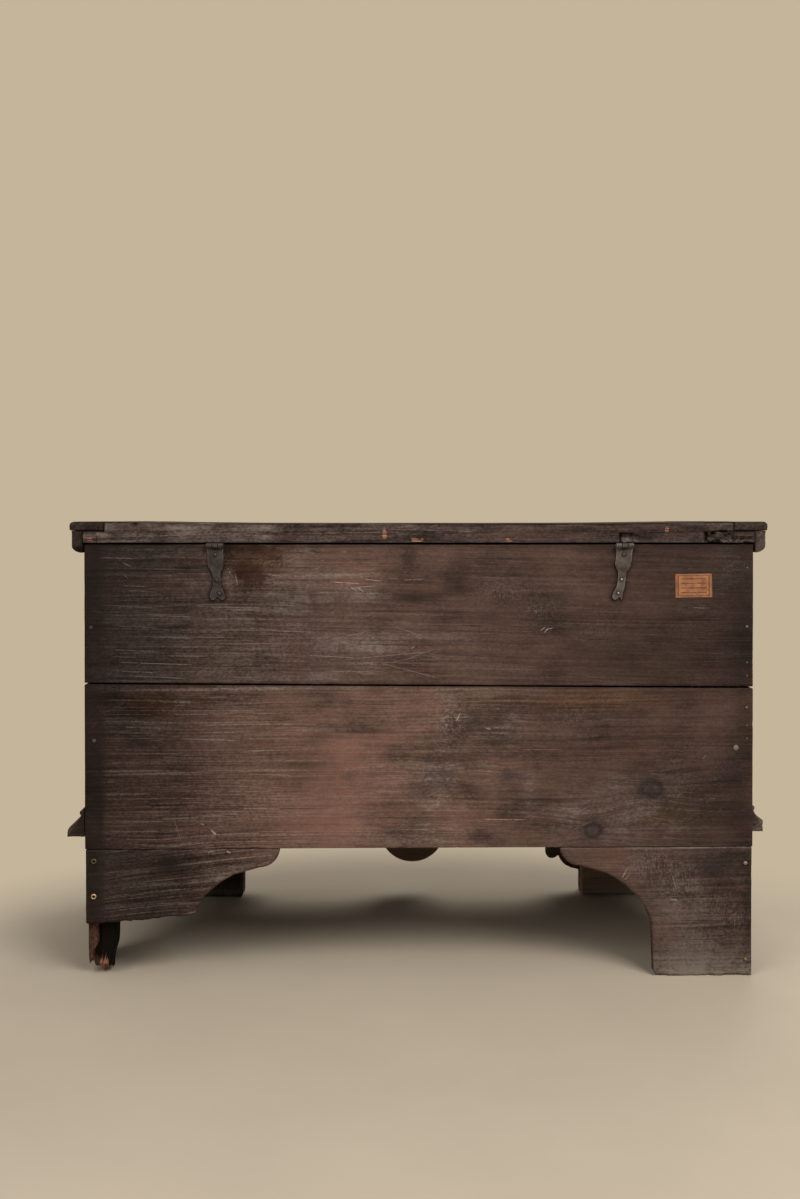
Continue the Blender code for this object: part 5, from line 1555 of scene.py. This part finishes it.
def label():
    """Paper with a ragged rim, a little crooked and lifting at two corners."""
    points, quads = lattice(np.linspace(-1, 1, 37), np.array([0.0, 1.0]), np.linspace(-1, 1, 25))
    u, side, v = points.T
    flat = points * (LABEL_SIZE[0] / 2, 0, LABEL_SIZE[1] / 2)
    ragged = np.abs(0.0006 * fractal(flat, 260, 3, 141)) * smooth(np.maximum(np.abs(u), np.abs(v)), 0.9, 1.0)
    x = flat[:, 0] * (1 - ragged / 0.03)
    z = flat[:, 2] * (1 - ragged / 0.02)
    lift = 0.0002 + 0.0003 * np.clip(fractal(flat, 60, 3, 143), -0.4, 1) + 0.0010 * smooth(u * v, 0.75, 1.0)
    y = BACK_Y + np.maximum(lift, 0.0001) + PAPER_THICK * side
    across = x * math.cos(LABEL_TILT) - z * math.sin(LABEL_TILT)
    up = x * math.sin(LABEL_TILT) + z * math.cos(LABEL_TILT)
    skin = Skin(np.stack([across + LABEL_AT[0], y, up + LABEL_AT[1]], 1), quads)
    obj = piece("paper_label", skin, "case", "case_wood", PAPER, crease=50)
    write_vectors(obj.data, "page", [u, v, side])


label()

# Floor, light and camera
scene = bpy.context.scene
WALL = (0.552, 0.462, 0.328)
FLOOR = (0.470, 0.400, 0.310)
LAMP = (1.0, 0.98, 0.95)


def seen_directly(g):
    """1 for rays that show the background: from the camera, mirrored or through clear pieces."""
    rays = g.node("LightPath", {}).socket.node.outputs
    seen, mirrored, clear = (Wire(g, rays[f"Is {kind} Ray"]) for kind in ("Camera", "Glossy", "Transmission"))
    return g.math("MAXIMUM", g.math("MAXIMUM", seen, mirrored), clear)


def floor():
    """Plain floor that passes into the wall's colour away from the chest."""
    mesh = bpy.data.meshes.new("floor")
    mesh.from_pydata([(-9, -9, 0), (9, -9, 0), (9, 9, 0), (-9, 9, 0)], [], [(0, 1, 2, 3)])
    g = Graph(bpy.data.materials.new("floor"))
    place = g.place()
    colour = place.noise(3.0, 5.0, 0.6).ramp((0.3, times(0.93, FLOOR)), (0.7, FLOOR))
    g.put_into("Principled BSDF", {"Base Color": colour, "Roughness": 0.9, "Specular IOR Level": 0.1})
    x, y, _ = place.split()
    away = g.math("SQRT", x * x + g.math("POWER", y - 0.65, 2.0))
    ground = Wire(g, g.tree.nodes["Principled BSDF"].outputs[0])
    glow = g.node("Emission", {"Color": (*WALL, 1.0), "Strength": 1.0})
    share = away.band(1.05, 1.45) * seen_directly(g)
    g.put_into("Material Output", {"Surface": g.node("MixShader", {0: share, 1: ground, 2: glow})})
    mesh.materials.append(g.owner)
    obj = bpy.data.objects.new("floor", mesh)
    scene.collection.objects.link(obj)


def softbox(name, location, size, power):
    """Square lamp that looks at the chest."""
    lamp = bpy.data.lights.new(name, "AREA")
    lamp.shape = "SQUARE"
    lamp.size = size
    lamp.energy = power
    lamp.color = LAMP
    obj = bpy.data.objects.new(name, lamp)
    obj.location = location
    obj.rotation_euler = (Vector((0, 0.1, 0.45)) - Vector(location)).to_track_quat("-Z", "Y").to_euler()
    scene.collection.objects.link(obj)


def studio():
    """Even light from all round, with the wall's colour where it is seen."""
    world = bpy.data.worlds.new("studio")
    scene.world = world
    g = Graph(world)
    g.put_into("Background", {"Color": (*LAMP, 1.0), "Strength": 0.24})
    light = Wire(g, g.tree.nodes["Background"].outputs[0])
    wall = g.node("Background", {"Color": (*WALL, 1.0), "Strength": 1.0})
    g.put_into("World Output", {"Surface": g.node("MixShader", {0: seen_directly(g), 1: light, 2: wall})})


floor()
softbox("key_light", (-2.0, 2.9, 3.4), 2.2, 150)
softbox("fill_light", (2.3, 2.9, 2.9), 2.4, 70)
softbox("front_light", (-0.9, -2.6, 3.4), 2.4, 80)
softbox("top_light", (0.0, 0.0, 3.6), 3.0, 25)
studio()

camera = bpy.data.cameras.new("camera")
camera.lens = 36.63
camera.sensor_width = 36.0
camera.shift_x = 0.0008
camera.shift_y = -0.0579
camera.clip_end = 60.0
eye = bpy.data.objects.new("camera", camera)
eye.location = (0.079, 2.60275, 0.872)
yaw, pitch = math.radians(0.96), math.radians(0.5)
look = Vector((-math.sin(yaw) * math.cos(pitch), -math.cos(yaw) * math.cos(pitch), -math.sin(pitch)))
eye.rotation_euler = look.to_track_quat("-Z", "Y").to_euler()
scene.collection.objects.link(eye)
scene.camera = eye

scene.view_settings.view_transform = "Standard"
